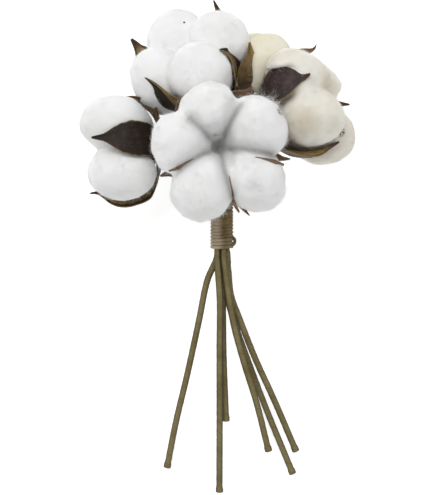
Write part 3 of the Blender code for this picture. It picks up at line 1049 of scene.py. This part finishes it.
        single = np.array(
            [(0, 2, 1), (0, 3, 2), (0, 1, 3)]
            + [(1, 2, 5), (1, 5, 4), (2, 3, 6), (2, 6, 5), (3, 1, 4), (3, 4, 6)]
            + [(7, 4, 5), (7, 5, 6), (7, 6, 4)]
        )
        corners_each = single.max() + 1
        faces = (single[None] + np.arange(count)[:, None, None] * corners_each).reshape(-1, 3)
        return new_piece("fibres", points, faces.tolist())

    def build(self, drawing: Drawing) -> bpy.types.Object:
        """Makes the cotton with its down.

        Args:
            drawing: The placed drawing.

        Returns:
            The piece.
        """
        body = self.base()
        self.tease(body, drawing)
        down = self.down(body, drawing)
        for part in (body, down):
            take_up(part)
            bpy.ops.object.shade_smooth()
        return join([body, down], self.node + "_down")

    def dress(self, piece: bpy.types.Object, drawing: Drawing) -> None:
        """Gives the cotton its finish and its place in the bunch.

        Args:
            piece: The cotton.
            drawing: The placed drawing.
        """
        tree = BVHTree.FromObject(piece, bpy.context.evaluated_depsgraph_get())
        spots = []
        for x, y, *spot in self.crumbs + self.shade_and_tone_marks:
            over = drawing.at(x, y, 0.0)
            over.z = OVERHEAD
            spots.append((top_of(tree, over) or tree.find_nearest(over)[0], *spot))
        count = len(self.crumbs)
        finish = CottonFinish(self.node, self.tone, tuple(spots[:count]), tuple(spots[count:]))
        present(piece, finish.material(), "cotton", self.node)


# --------------------------------------------------------------------------------------------------
# Burs


@dataclass(frozen=True)
class Valve:
    """One pointed valve of a bur.

    Azimuth, slope, curl and low and high, the outward folds of its two sides, are in degrees. Length, hook,
    the tip's way sideways, and out, the belly's stand-off, are in millimetres. The width is a factor on the
    bur's outline. Golden is 1 or -1, for the side of the outer face that has lost its skin, or 0 for none.
    """

    azimuth: float
    slope: float = 80.0
    curl: float = 25.0
    length: float = 44.0
    width: float = 1.0
    hook: float = 0.0
    low: float = 18.0
    high: float = 18.0
    out: float = 0.0
    golden: int = 0


@dataclass
class Bur:
    """The bur of one boll: a small cup and its curved, ribbed valves with drawn-out tips.

    The base is the boll's place in the drawing, it opens towards its facing, and its valves' azimuths start
    at the mark. Lengths and the outline's half widths are in millimetres, slopes are in degrees, and where
    the bend ends, where curl, hook and folds start and the outline's places are shares of a valve's length.
    The midrib's width and the waver of the rim are shares of half the valve's width. Edges are way points
    across the drawing with their half widths.
    """

    name: str
    base: Point
    facing: Point
    mark: Point
    valves: tuple[Valve, ...]
    finish: BurFinish
    seed: int
    root: float = 3.0
    camber: float = 15.0
    bend_share: float = 0.8
    root_slope: float = -10.0
    curl_start: float = 0.84
    hook_start: float = 0.68
    thickness: float = 0.75
    midrib: float = 0.45
    midrib_width: float = 0.09
    waver: float = 0.07
    waver_scale: tuple[float, float] = (5.0, 14.0)
    roughness: float = 0.3
    roughness_scale: tuple[float, float] = (1.5, 9.0)
    fold_start: float = 0.12
    fold_run: float = 0.3
    rim_thinning: float = 0.4
    tip_thinning: float = 9.0
    tip_wall: float = 0.25
    crease_angle: float = 50.0
    rows: int = 44
    columns: int = 16
    outline: tuple[tuple[float, float], ...] = (
        (0.0, 2.6), (0.14, 4.6), (0.32, 7.6), (0.48, 8.8), (0.6, 8.7), (0.7, 7.4), (0.78, 5.1), (0.84, 3.0),
        (0.89, 1.8), (0.94, 1.2), (1.0, 0.5),
    )
    profile_steps: int = 400
    section_steps: int = 40
    calyx_depth: float = 3.2
    calyx_foot: float = 2.3
    calyx_wall: float = 1.0
    calyx_reach: tuple[float, float] = (0.03, 0.27)
    calyx_thinning: tuple[float, float] = (0.9, 0.55)
    calyx_rings: int = 7
    calyx_sides: int = 32
    edges: tuple[tuple[Point, ...], ...] = ()
    edge_step: float = 0.5
    edge_sides: int = 8

    def matrix(self, drawing: Drawing) -> Matrix:
        """The matrix from the boll's own space, with +Z out of the bur.

        Args:
            drawing: The placed drawing.

        Returns:
            The matrix.
        """
        axis = Vector(self.facing).normalized()
        mark = Vector(self.mark)
        across = (mark - axis * mark.dot(axis)).normalized()
        turn = Matrix((across, axis.cross(across), axis)).transposed()
        return Matrix.Translation(drawing.at(*self.base)) @ turn.to_4x4()

    def profile(self, valve: Valve, shares: np.ndarray) -> tuple[np.ndarray, np.ndarray, np.ndarray]:
        """The midline of a valve.

        Args:
            valve: The valve.
            shares: The shares of its length to read.

        Returns:
            Distances from the axis and heights in metres, and slopes.
        """
        fine = (np.arange(self.profile_steps) + 0.5) / self.profile_steps
        slope = self.root_slope + (valve.slope - self.root_slope) * np.minimum(fine / self.bend_share, 1.0)
        late = np.clip((fine - self.curl_start) / (1.0 - self.curl_start), 0.0, 1.0)
        slope = np.radians(slope - valve.curl * ease(late))
        stride = valve.length * MM / self.profile_steps
        reach = self.root * MM + np.concatenate([[0.0], np.cumsum(np.cos(slope) * stride)])
        height = np.concatenate([[0.0], np.cumsum(np.sin(slope) * stride)])
        knots = np.arange(self.profile_steps + 1) / self.profile_steps
        return np.interp(shares, knots, reach), np.interp(shares, knots, height), np.interp(shares, fine, slope)

    def blade(self, valve: Valve, number: int) -> bpy.types.Object:
        """One valve: a grid bent to the boll, given a wall that thins to the rim.

        Args:
            valve: The valve.
            number: Its number, which seeds its unevenness.

        Returns:
            The valve in the boll's own space.
        """
        deselect()
        bpy.ops.mesh.primitive_grid_add(x_subdivisions=self.columns, y_subdivisions=self.rows, size=2.0)
        piece = bpy.context.view_layer.objects.active
        flat = points_of(piece)
        across, share = flat[:, 0], (flat[:, 1] + 1.0) / 2.0
        along = np.clip(share, 0.0, 1.0)
        reach, height, slope = self.profile(valve, share)
        rough, waver = [], []
        (rough_across, rough_along), (rim, rim_along) = self.roughness_scale, self.waver_scale
        for a, s in zip(across, share):
            rough.append(noise.noise(Vector((a * rough_across, s * rough_along, self.seed + number * 3.1))))
            waver.append(noise.noise(Vector((np.sign(a) * rim, s * rim_along, self.seed * 2.0 + number))))
        half = np.interp(share, *np.array(self.outline).T) * MM * valve.width
        half = half * (1.0 + self.waver * np.array(waver))
        aside, rise = self.section(valve, half, share, across)
        rise += np.exp(-((across / self.midrib_width) ** 2)) * self.midrib * MM * (1.0 - along) ** 0.5
        rise += np.array(rough) * self.roughness * MM - valve.out * np.sin(np.pi * along) * MM
        hook = np.clip((share - self.hook_start) / (1.0 - self.hook_start), 0.0, 1.0) ** 2 * valve.hook * MM
        points = np.stack([reach - np.sin(slope) * rise, aside + hook, height + np.cos(slope) * rise], axis=1)
        set_points(piece, points)
        group = piece.vertex_groups.new(name="wall")
        wall = np.clip(1.0 - np.abs(across) ** 4 * self.rim_thinning, 0.0, 1.0)
        wall *= np.clip((1.03 - share) * self.tip_thinning, self.tip_wall, 1.0)
        for index, weight in enumerate(wall):
            group.add([index], float(weight), "REPLACE")
        middle = piece.data.polygons[len(piece.data.polygons) // 2]
        first_inside = middle.normal.z * math.cos(0.8) - middle.normal.x * math.sin(0.8) > 0
        modifier = piece.modifiers.new("wall", "SOLIDIFY")
        modifier.thickness = self.thickness * MM
        modifier.offset = 0.0
        modifier.vertex_group = "wall"
        modifier.thickness_vertex_group = 0.0
        take_up(piece)
        bpy.ops.object.modifier_apply(modifier=modifier.name)
        faces_in = np.repeat([first_inside, not first_inside], len(points))
        golden = np.tile(across, 2) * valve.golden > 0.1
        mark(piece, inner=faces_in | golden, side=np.tile(np.abs(across), 2), reach=np.tile(share, 2))
        piece.vertex_groups.clear()
        piece.data.transform(Matrix.Rotation(math.radians(valve.azimuth), 4, "Z"))
        return piece

    def section(
        self, valve: Valve, half: np.ndarray, share: np.ndarray, across: np.ndarray
    ) -> tuple[np.ndarray, np.ndarray]:
        """The curved section of a valve, with each side folded outwards by its own angle.

        Args:
            valve: The valve.
            half: Half the valve's width at each point.
            share: How far each point is along the valve.
            across: How far each is from the midline, from -1 to 1.

        Returns:
            Each point's place sideways, and its rise towards the cotton, in metres.
        """
        steps = (np.arange(self.section_steps) + 0.5) / self.section_steps
        fold = np.radians(np.where(across >= 0.0, valve.high, valve.low))
        fold *= np.clip((share - self.fold_start) / self.fold_run, 0.0, 1.0)
        part = np.clip((steps - 0.05) / 0.5, 0.0, 1.0)
        turn = steps[None] * half[:, None] / (self.camber * MM) - fold[:, None] * ease(part)[None]
        stride = half[:, None] / self.section_steps
        nothing = np.zeros((len(half), 1))
        aside = np.hstack([nothing, np.cumsum(np.cos(turn) * stride, axis=1)])
        rise = np.hstack([nothing, np.cumsum(np.sin(turn) * stride, axis=1)])
        rows = np.arange(len(half))
        picked = np.rint(np.abs(across) * self.section_steps).astype(int)
        return aside[rows, picked] * np.sign(across), rise[rows, picked]

    def cup(self) -> bpy.types.Object:
        """The small cup at the boll's foot.

        Returns:
            The cup in the boll's own space.
        """
        shortest = min(self.valves, key=lambda valve: valve.length)
        reach, height, slope = self.profile(shortest, np.linspace(*self.calyx_reach, self.calyx_rings))
        wall = self.calyx_wall * MM * np.linspace(*self.calyx_thinning, self.calyx_rings)
        outside = np.stack([reach + np.sin(slope) * wall, height - np.cos(slope) * wall], axis=1)
        inside = np.stack([reach - np.sin(slope) * wall, height + np.cos(slope) * wall], axis=1)
        foot, depth = self.calyx_foot * MM, self.calyx_depth * MM
        foot = [(foot * 0.9, -depth), (foot * 1.15, -depth * 0.75)]
        line = np.vstack([foot, outside, inside[::-1], [(0.8 * MM, inside[0][1])]])
        sides = self.calyx_sides
        turn = 2.0 * np.pi * np.arange(sides) / sides
        points = np.array([(r * math.cos(t), r * math.sin(t), z) for r, z in line for t in turn])
        faces = tube_faces(len(line), sides)
        faces += [tuple(range(sides - 1, -1, -1)), tuple(range(len(points) - sides, len(points)))]
        piece = new_piece("cup", points, faces)
        nothing = np.zeros(len(points))
        mark(piece, inner=nothing, side=nothing, reach=nothing)
        piece.data.uv_layers.new(name="UVMap")
        return piece

    def edge(self, drawing: Drawing, cotton: bpy.types.Object, way: tuple[Point, ...]) -> bpy.types.Object:
        """The dry edge of a valve where it shows in the crease between two locks.

        Args:
            drawing: The placed drawing.
            cotton: The boll's cotton, which the edge lies on.
            way: The edge's way points across the drawing and its half width at each, in millimetres.

        Returns:
            The edge.
        """
        tree = BVHTree.FromObject(cotton, bpy.context.evaluated_depsgraph_get())
        line = smooth_line([drawing.at(x, y, 0.0) for x, y, _ in way], self.edge_step * MM)
        tops = [top_of(tree, Vector((x, y, OVERHEAD))) for x, y, _ in line]
        levels = np.array([top.z if top else math.nan for top in tops])
        known = ~np.isnan(levels)
        levels = np.interp(np.arange(len(levels)), np.flatnonzero(known), levels[known])
        for _ in range(6):
            levels[1:-1] = (levels[:-2] + levels[1:-1] * 2.0 + levels[2:]) / 4.0
        line[:, 2] = levels
        reach = np.linspace(0.0, len(way) - 1.0, len(line))
        half = np.interp(reach, np.arange(len(way)), [width for _, _, width in way]) * MM
        piece = Sweep(line, half, self.edge_sides).build("edge")
        whole = np.ones(len(piece.data.vertices))
        mark(piece, inner=whole, side=whole * 0.25, reach=whole * 0.4)
        return piece

    def build(self, drawing: Drawing, cotton: bpy.types.Object) -> bpy.types.Object:
        """Makes the bur in its place.

        Args:
            drawing: The placed drawing.
            cotton: The boll's cotton.

        Returns:
            The piece.
        """
        parts = [self.blade(valve, number) for number, valve in enumerate(self.valves)] + [self.cup()]
        piece = join(parts, self.name + "_bur")
        piece.data.transform(self.matrix(drawing))
        piece.matrix_world = Matrix.Identity(4)
        if self.edges:
            piece = join([piece] + [self.edge(drawing, cotton, way) for way in self.edges], piece.name)
        set_points(piece, above_table(points_of(piece)))
        edit_all(piece, bpy.ops.mesh.normals_make_consistent, inside=False)
        bpy.ops.object.shade_smooth_by_angle(angle=math.radians(self.crease_angle))
        return piece

    def dress(self, piece: bpy.types.Object) -> None:
        """Gives the bur its finish and its place in the bunch.

        Args:
            piece: The bur.
        """
        present(piece, self.finish.material(), "husk", self.name + "_husk")


def facing(azimuth: float, elevation: float) -> Point:
    """A direction from its azimuth and its elevation, both in degrees."""
    turn, rise = math.radians(azimuth), math.radians(elevation)
    return (math.cos(rise) * math.cos(turn), math.cos(rise) * math.sin(turn), math.sin(rise))


UP = (0.0, 0.0, 1.0)
RIGHT = (1.0, 0.0, 0.0)

PURPLE = {"skin": colour(48, 36, 36), "patch": colour(80, 63, 60)}
BURS = (
    Bur(
        "front", (-1.5, 51.0, 45.0), (0.10, -0.14, 0.985), RIGHT,
        (
            Valve(210, 57, 26, 34, 0.9, -1.5, out=-3.5),
            Valve(-70, 54, 30, 40, 0.6, 3.0, out=-3.5),
            Valve(-12, 55, 28, 39, 0.7, 1.0, out=-3.5),
            Valve(60, 56, 20, 36, 0.9),
            Valve(130, 62, 20, 35, 0.8),
        ),
        BurFinish(
            "front", skin=colour(66, 50, 40), patch=colour(108, 84, 68),
            lining=colour(136, 110, 84), shade=colour(84, 62, 46),
        ),
        seed=1,
        edges=(
            ((-11.5, 42.0, 0.2), (-15.5, 40.0, 0.5), (-20.0, 37.4, 1.0), (-23.0, 36.4, 0.6)),
            ((5.6, 34.0, 0.2), (6.8, 28.0, 0.4), (8.4, 20.5, 0.9), (10.5, 17.0, 0.5)),
            ((18.0, 43.2, 0.2), (23.5, 41.9, 0.6), (28.5, 40.6, 1.3), (32.0, 40.0, 0.6)),
        ),
    ),
    Bur(
        "upper_left", (-4.5, 79.0, 21.5), facing(122, 32), UP,
        (
            Valve(49, 97, -80, 43, 1.2, -9.0, low=50, golden=-1),
            Valve(126, 86, 8, 52, golden=-1),
            Valve(207, 74, 8, 55.5, 1.5, out=1.3),
            Valve(316, 95, 8, 49, 1.35, -6.5, low=5, high=50, out=0.8, golden=1),
        ),
        BurFinish("upper_left"),
        seed=2,
    ),
    Bur(
        "left", (-29.0, 50.5, 24.5), facing(180.5, 3), UP,
        (
            Valve(7, 98, 16, 50),
            Valve(80, 102, 10, 40, 1.25, low=62, out=0.9),
            Valve(180, 98, 15, 42),
            Valve(268, 112, 34, 51, 1.3, high=60, out=0.5),
        ),
        BurFinish("left", lining=colour(160, 138, 100), rim=0.68, fade=0.12),
        seed=3,
    ),
    Bur(
        "right", (24.0, 75.5, 30.0), facing(-4, 9), UP,
        (
            Valve(345, 88, 36, 38.5, 1.2, -3.0, out=0.7),
            Valve(76, 114, 0, 56, 2.2, low=74, out=2.0),
            Valve(184, 98, 0, 60, 0.9),
            Valve(266, 89, 80, 40, 1.9, out=-0.6, golden=1),
        ),
        BurFinish("right", rim=0.74, fade=0.14, **PURPLE),
        seed=4,
    ),
    Bur(
        "back", (16.0, 81.5, 13.5), facing(95, 15), UP,
        (Valve(4, 96, 10, 40, 0.85, golden=1), Valve(180, 96, 8, 25, 0.8)),
        BurFinish("back", skin=colour(96, 78, 52), patch=colour(134, 110, 70), lining=colour(168, 136, 62)),
        seed=5,
    ),
    Bur(
        "under", (1.2, 33.5, 26.0), (0.0, 0.6, -0.8), RIGHT,
        (
            Valve(18, 84, 10, 28, 0.85),
            Valve(90, 88, 5, 26, 0.85),
            Valve(162, 84, 10, 28, 0.85),
            Valve(234, 96, 10, 25, 0.8),
            Valve(306, 96, 10, 25, 0.8),
        ),
        BurFinish("under"),
        seed=6,
    ),
)

# Painted shade: the beige is shade on the right boll, partly its own cream tone, and the grey is the shade deep in the
# front boll's hollow
SHADED_BEIGE = colour(206, 197, 176)
HOLLOW_SHADE = colour(92, 92, 90)
COTTON = (
    CottonBoll(
        "front_cotton", Tone.WHITE, 11, 12500,
        crumbs=((27.8, 69.6, 6.0, 0.42), (29.6, 64.6, 4.0, 0.42)),
        shade_and_tone_marks=((0.2, 49.2, 7.0, HOLLOW_SHADE),),
        soften=24,
        plump=0.5 * MM,
        hollow=(0.2, 49.2, 10.0, 11.0),
        seams=((212.0, 26.0, 4.2), (-75.0, 30.0, 4.2), (-10.0, 30.0, 3.6), (60.0, 26.0, 4.2), (139.0, 22.0, 3.2)),
        wild=(27.5, 72.0, 9.0),
    ),
    CottonBoll("upper_left_cotton", Tone.WHITE, 12, 9500, crumbs=((-16.7, 112.8, 0.8, 1.0),)),
    CottonBoll("left_cotton", Tone.WHITE, 13, 8500),
    CottonBoll(
        "right_cotton", Tone.IVORY, 14, 9500,
        crumbs=((61.6, 57.6, 4.6, 0.41),),
        shade_and_tone_marks=((41.0, 61.0, 13.0, SHADED_BEIGE), (54.0, 79.0, 9.0, SHADED_BEIGE)),
        press=(60.0, 101.5, 0.5),
    ),
    CottonBoll("back_cotton", Tone.CREAM, 15, 5000),
    CottonBoll("under_cotton", Tone.WHITE, 16, 4000),
)


# --------------------------------------------------------------------------------------------------
# Stems and tie


@dataclass
class TapedStem:
    """One stem, wound with crinkled floral tape from its boll to its cut end.

    Column and row are its place among the tied stems, in stem widths from their middle. Its way points
    above the tie, from there up, and below it, from there down, are in millimetres. So are the step along
    it, the height of the tape's overlap, the run over which it swells beside the tie, the straight run
    under its boll, how much thicker its collar below the tie is and the levels where that begins and ends.
    """

    head: str
    column: float
    row: float
    above: tuple[Point, ...]
    below: tuple[Point, ...]
    step: float = 0.55
    sides: int = 16
    overlap: float = 0.05
    unevenness: float = 0.07
    swell_run: float = 12.0
    boll_run: float = 3.5
    collar: float = 0.0
    collar_ends: tuple[float, float] = (-9.0, -1.0)

    def line(self, drawing: Drawing) -> np.ndarray:
        """The stem's line from its boll to its cut end.

        Args:
            drawing: The placed drawing.

        Returns:
            Its points, one row each.
        """
        bur = next(bur for bur in BURS if bur.name == self.head)
        boll = bur.matrix(drawing)
        foot = -(bur.calyx_depth + GAP) * MM
        run = self.boll_run * MM
        start = [boll @ Vector((0.0, 0.0, foot - part)) for part in (0.0, run / 4.0, run)]
        pitch = 2.0 * TIED_RADIUS + TIED_GAP
        x, z = TIE_X + self.column * pitch, TIE_Z + self.row * pitch * math.sqrt(0.75)
        levels = (TIE_TOP + TIE_LEAD, TIE_TOP, TIE_BOTTOM, TIE_BOTTOM - TIE_LEAD)
        through = [drawing.at(x, level, z) for level in levels]
        above = [drawing.at(*point) for point in reversed(self.above)]
        return smooth_line(start + above + through + [drawing.at(*point) for point in self.below], self.step * MM)

    def girth(self, line: np.ndarray, drawing: Drawing) -> np.ndarray:
        """The stem's radius at each point and side: squeezed where it is tied, with the tape's overlaps.

        Args:
            line: The stem's line.
            drawing: The placed drawing.

        Returns:
            One row of radii for each point of the line.
        """
        level = (line[:, 1] - drawing.shift.y) / MM
        away = np.abs(level - (TIE_TOP + TIE_BOTTOM) / 2.0) - (TIE_TOP - TIE_BOTTOM) / 2.0
        part = np.clip(away / self.swell_run, 0.0, 1.0)
        radius = TIED_RADIUS + (STEM_RADIUS - TIED_RADIUS) * ease(part)
        reach = lengths(line)
        foot = np.clip(1.0 - (reach[-1] - reach - FOOT_LENGTH * 0.7) / 1.2, 0.0, 1.0) * (part > 0.5)
        radius = radius + (FOOT_RADIUS - STEM_RADIUS) * foot
        low, high = self.collar_ends
        radius = radius + self.collar * np.clip((level - low) / 2.0, 0.0, 1.0) * np.clip((high - level) / 1.5, 0.0, 1.0)
        side = np.arange(self.sides) / self.sides
        wrap = np.mod(reach[:, None] / TapeFinish.turn + side[None], 1.0)
        relief = self.overlap * (0.5 - wrap)
        seed = sum(map(ord, self.head))
        turns = [(math.sin(2 * math.pi * s), math.cos(2 * math.pi * s) + seed) for s in side]
        uneven = np.array([[noise.noise(Vector((r * 0.35, *turn))) for turn in turns] for r in reach])
        return (radius[:, None] + relief + uneven * self.unevenness) * MM

    def build(self, drawing: Drawing) -> bpy.types.Object:
        """Makes the stem.

        Args:
            drawing: The placed drawing.

        Returns:
            The piece.
        """
        line = self.line(drawing)
        piece = Sweep(line, self.girth(line, drawing), self.sides).build("taped_stem_" + self.head)
        # The under mark sets the painted shade, darker where the stem faces sideways or down
        mark(piece, under=np.array([1.0 - max(vertex.normal.z, 0.0) for vertex in piece.data.vertices]))
        return piece

    def dress(self, piece: bpy.types.Object) -> None:
        """Gives the stem its finish and its place in the bunch.

        Args:
            piece: The stem.
        """
        present(piece, TapeFinish().material(), "stem_tape", "stem_" + self.head)


STEMS = (
    TapedStem(
        "left", -0.75, 1,
        ((-7.2, 32.0, 35.5), (-14.0, 43.0, 30.5)),
        ((0.3, -12.0, 31.8), (1.1, -24.0, 30.0), (1.1, -52.0, 22.5), (1.1, -90.0, 13.0), (1.0, -127.4, 4.5)),
    ),
    TapedStem(
        "front", 0.25, 1,
        ((3.0, 32.0, 36.0), (0.8, 44.0, 36.0)),
        ((3.95, -12.0, 31.3), (7.8, -37.0, 25.8), (13.2, -57.5, 20.8), (19.7, -78.5, 15.5), (26.5, -105.5, 8.7)),
    ),
    TapedStem(
        "under", -0.25, 0,
        (),
        ((1.9, -12.0, 28.5), (2.5, -24.0, 25.2), (3.0, -52.0, 18.5), (4.4, -89.7, 9.5)),
    ),
    TapedStem(
        "right", 0.75, 0,
        ((10.0, 31.0, 34.0), (14.5, 48.0, 33.5), (16.5, 62.0, 31.0)),
        (
            (5.5, -12.0, 27.9), (6.8, -24.0, 24.4), (11.3, -36.5, 21.3), (19.5, -57.3, 15.5),
            (28.9, -78.0, 10.0), (41.0, -106.3, 3.0),
        ),
        collar=0.45,
    ),
    TapedStem(
        "back", 0.25, -1,
        ((5.9, 31.0, 30.2), (9.8, 45.0, 32.6), (11.5, 57.0, 28.0), (15.0, 68.0, 16.5)),
        (
            (3.0, -12.0, 24.9), (4.6, -24.0, 20.8), (8.2, -37.0, 17.4), (15.4, -57.5, 12.4),
            (23.2, -78.5, 8.0), (39.4, -118.3, 2.2),
        ),
    ),
    TapedStem(
        "upper_left", -0.75, -1,
        ((-4.9, 31.0, 29.6), (-7.6, 43.0, 33.0), (-4.6, 62.0, 27.0)),
        ((-5.1, -16.5, 25.0), (-9.4, -37.0, 20.0), (-16.3, -68.5, 12.3), (-21.4, -89.8, 7.5), (-26.4, -115.0, 2.1)),
    ),
)


@dataclass
class TwineTie:
    """The twine wound round the stems, turn beside turn, and the small loop that stands out of it.

    Lengths are in millimetres. Steps are to a turn. The lay is how far the turns climb where they pass the
    right side, and the swelling is how much thicker than its solid the twine is.
    """

    steps: int = 40
    sides: int = 10
    ply_depth: float = 0.08
    ply_pitch: float = 3.4
    swelling: float = 1.12
    lay: float = 2.4
    sag: float = 0.25
    flatness: float = 1.3
    loop_radius: float = 2.0
    loop_width: float = 0.8
    loop_wire: float = 0.8
    loop_sunk: float = 0.7
    loop_level: float = 3.2
    loop_rise: float = 0.6
    loop_steps: int = 40
    loop_turn: float = 200.0

    def outline(self, angle: float, margin: float) -> tuple[float, float]:
        """A point round the tied stems, in millimetres from the tie's middle.

        Args:
            angle: The way out from the middle.
            margin: How far outside the stems' surface it lies.

        Returns:
            Its place across and up.
        """
        pitch = 2.0 * TIED_RADIUS + TIED_GAP
        centres = [(stem.column * pitch, stem.row * pitch * math.sqrt(0.75)) for stem in STEMS]
        out = (math.cos(angle), math.sin(angle))
        corner = max(centres, key=lambda centre: centre[0] * out[0] + centre[1] * out[1])
        reach = TIED_RADIUS + margin
        return corner[0] + out[0] * reach, corner[1] + out[1] * reach

    def cord(self, line: np.ndarray, radius: float, name: str) -> bpy.types.Object:
        """A two-ply cord along a line.

        Args:
            line: Its points, one row each.
            radius: Its radius in millimetres.
            name: The piece's name.

        Returns:
            The piece.
        """
        for _ in range(4):
            line[1:-1] = (line[:-2] + 2.0 * line[1:-1] + line[2:]) / 4.0
        reach = lengths(line)
        turn = 2.0 * np.pi * np.arange(self.sides) / self.sides
        flat = 1.0 + (self.flatness - 1.0) * np.abs(np.sin(turn))
        ply = np.abs(np.cos(turn[None] - np.pi * reach[:, None] / self.ply_pitch))
        girth = radius * (1.0 - self.ply_depth + self.ply_depth * ply) * flat[None] * MM
        return Sweep(line, girth, self.sides).build(name)

    def winding(self, drawing: Drawing) -> bpy.types.Object:
        """The turns round the stems.

        Args:
            drawing: The placed drawing.

        Returns:
            The piece.
        """
        turns = round((TIE_TOP - TIE_BOTTOM) / TIE_PITCH)
        line = []
        for step in range((turns - 1) * self.steps + 1):
            share = step / self.steps
            x, z = self.outline(2.0 * math.pi * share, GAP + TWINE_RADIUS)
            sag = self.sag * noise.noise(Vector((share * 1.7, 4.0, 0.0)))
            slant = min(max((x + 1.0) / 6.0, 0.0), 1.0)
            sag += self.lay * ease(slant) * (0.4 + 0.6 * share / turns)
            line.append(drawing.at(TIE_X + x, TIE_BOTTOM + (0.5 + share) * TIE_PITCH + sag, TIE_Z + z))
        return self.cord(np.array(line), TWINE_RADIUS * self.swelling, "twine_winding")

    def loop(self, drawing: Drawing) -> bpy.types.Object:
        """The small loop at the tie's side.

        Args:
            drawing: The placed drawing.

        Returns:
            The piece.
        """
        edge = self.outline(0.0, GAP + 2.0 * TWINE_RADIUS)[0]
        line = []
        for step in range(self.loop_steps + 1):
            angle = math.radians(-self.loop_turn / 2.0 + self.loop_turn * step / self.loop_steps)
            out = TIE_X + edge - self.loop_sunk + self.loop_radius * self.loop_width * math.cos(angle)
            level = self.loop_level + self.loop_radius * math.sin(angle)
            line.append(drawing.at(out, level, TIE_Z + self.loop_rise))
        return self.cord(np.array(line), self.loop_wire, "twine_side_loop")

    def build(self, drawing: Drawing) -> tuple[bpy.types.Object, bpy.types.Object]:
        """Makes the winding and the loop.

        Args:
            drawing: The placed drawing.

        Returns:
            The two pieces.
        """
        return self.winding(drawing), self.loop(drawing)

    def dress(self, winding: bpy.types.Object, loop: bpy.types.Object) -> None:
        """Gives the twine its finish and its place in the bunch.

        Args:
            winding: The turns round the stems.
            loop: The small loop.
        """
        present(winding, TwineFinish().material(), "twine", "twine_tie")
        green = TwineFinish(
            "green_twine", pale=colour(86, 80, 58), worn=colour(68, 62, 42),
            olive=colour(86, 80, 58), dark=colour(58, 52, 34), first_length=0.0,
        )
        present(loop, green.material(), "twine", "twine_loop")


# --------------------------------------------------------------------------------------------------
# Studio


@dataclass
class Studio:
    """A pale floor, soft light from all round, and a camera straight above the bunch.

    Lamps are names, places, sides and powers, in metres and watts. The camera's height is in the drawing's
    millimetres.
    """

    height: float = 722.5
    lens: float = 100.0
    film: float = 36.0
    floor_side: float = 4.0
    sky: float = 0.4
    aim: Point = (0.0, 0.05, 0.03)
    lamps: tuple = (("key", (-0.3, 0.6, 1.05), 0.8, 7.4), ("fill", (0.45, -0.15, 1.1), 1.0, 2.0))

    def floor(self) -> None:
        """Lays the pale floor."""
        deselect()
        bpy.ops.mesh.primitive_plane_add(size=self.floor_side)
        floor = bpy.context.view_layer.objects.active
        floor.name = "floor"
        floor.data.materials.append(FloorFinish().material())

    def light(self, name: str, place: Point, size: float, power: float) -> None:
        """Hangs one large soft lamp that points at the bolls.

        Args:
            name: The lamp's name.
            place: Where it hangs, in metres.
            size: The side of its square in metres.
            power: Its power in watts.
        """
        data = bpy.data.lights.new(name, "AREA")
        data.size = size
        data.energy = power
        lamp = bpy.data.objects.new(name, data)
        lamp.location = place
        lamp.rotation_euler = (Vector(self.aim) - Vector(place)).to_track_quat("-Z", "Y").to_euler()
        bpy.context.scene.collection.objects.link(lamp)

    def build(self, drawing: Drawing) -> None:
        """Sets up the floor, the lights and the camera.

        Args:
            drawing: The placed drawing.
        """
        self.floor()
        for lamp in self.lamps:
            self.light(*lamp)
        world = bpy.data.worlds.new("studio")
        world.use_nodes = True
        background = world.node_tree.nodes["Background"]
        background.inputs["Color"].default_value = (1.0, 1.0, 1.0, 1.0)
        background.inputs["Strength"].default_value = self.sky
        bpy.context.scene.world = world
        data = bpy.data.cameras.new("camera")
        data.sensor_fit = "VERTICAL"
        data.sensor_height = self.film
        data.lens = self.lens
        data.clip_start = 0.01
        camera = bpy.data.objects.new("camera", data)
        camera.location = drawing.at(0.0, 0.0, self.height)
        bpy.context.scene.collection.objects.link(camera)
        bpy.context.scene.camera = camera
        bpy.context.scene.view_settings.view_transform = "Standard"


def main() -> None:
    """Builds and dresses the bunch, piece by piece."""
    logging.basicConfig(level=logging.INFO, format="%(message)s")
    drawing = Drawing.of_tie()
    Studio().build(drawing)
    cotton = {boll.node: boll.build(drawing) for boll in COTTON}
    for boll in COTTON:
        boll.dress(cotton[boll.node], drawing)
    for bur in BURS:
        bur.dress(bur.build(drawing, cotton[bur.name + "_cotton"]))
    for stem in STEMS:
        stem.dress(stem.build(drawing))
    tie = TwineTie()
    tie.dress(*tie.build(drawing))


if __name__ == "__main__":
    main()
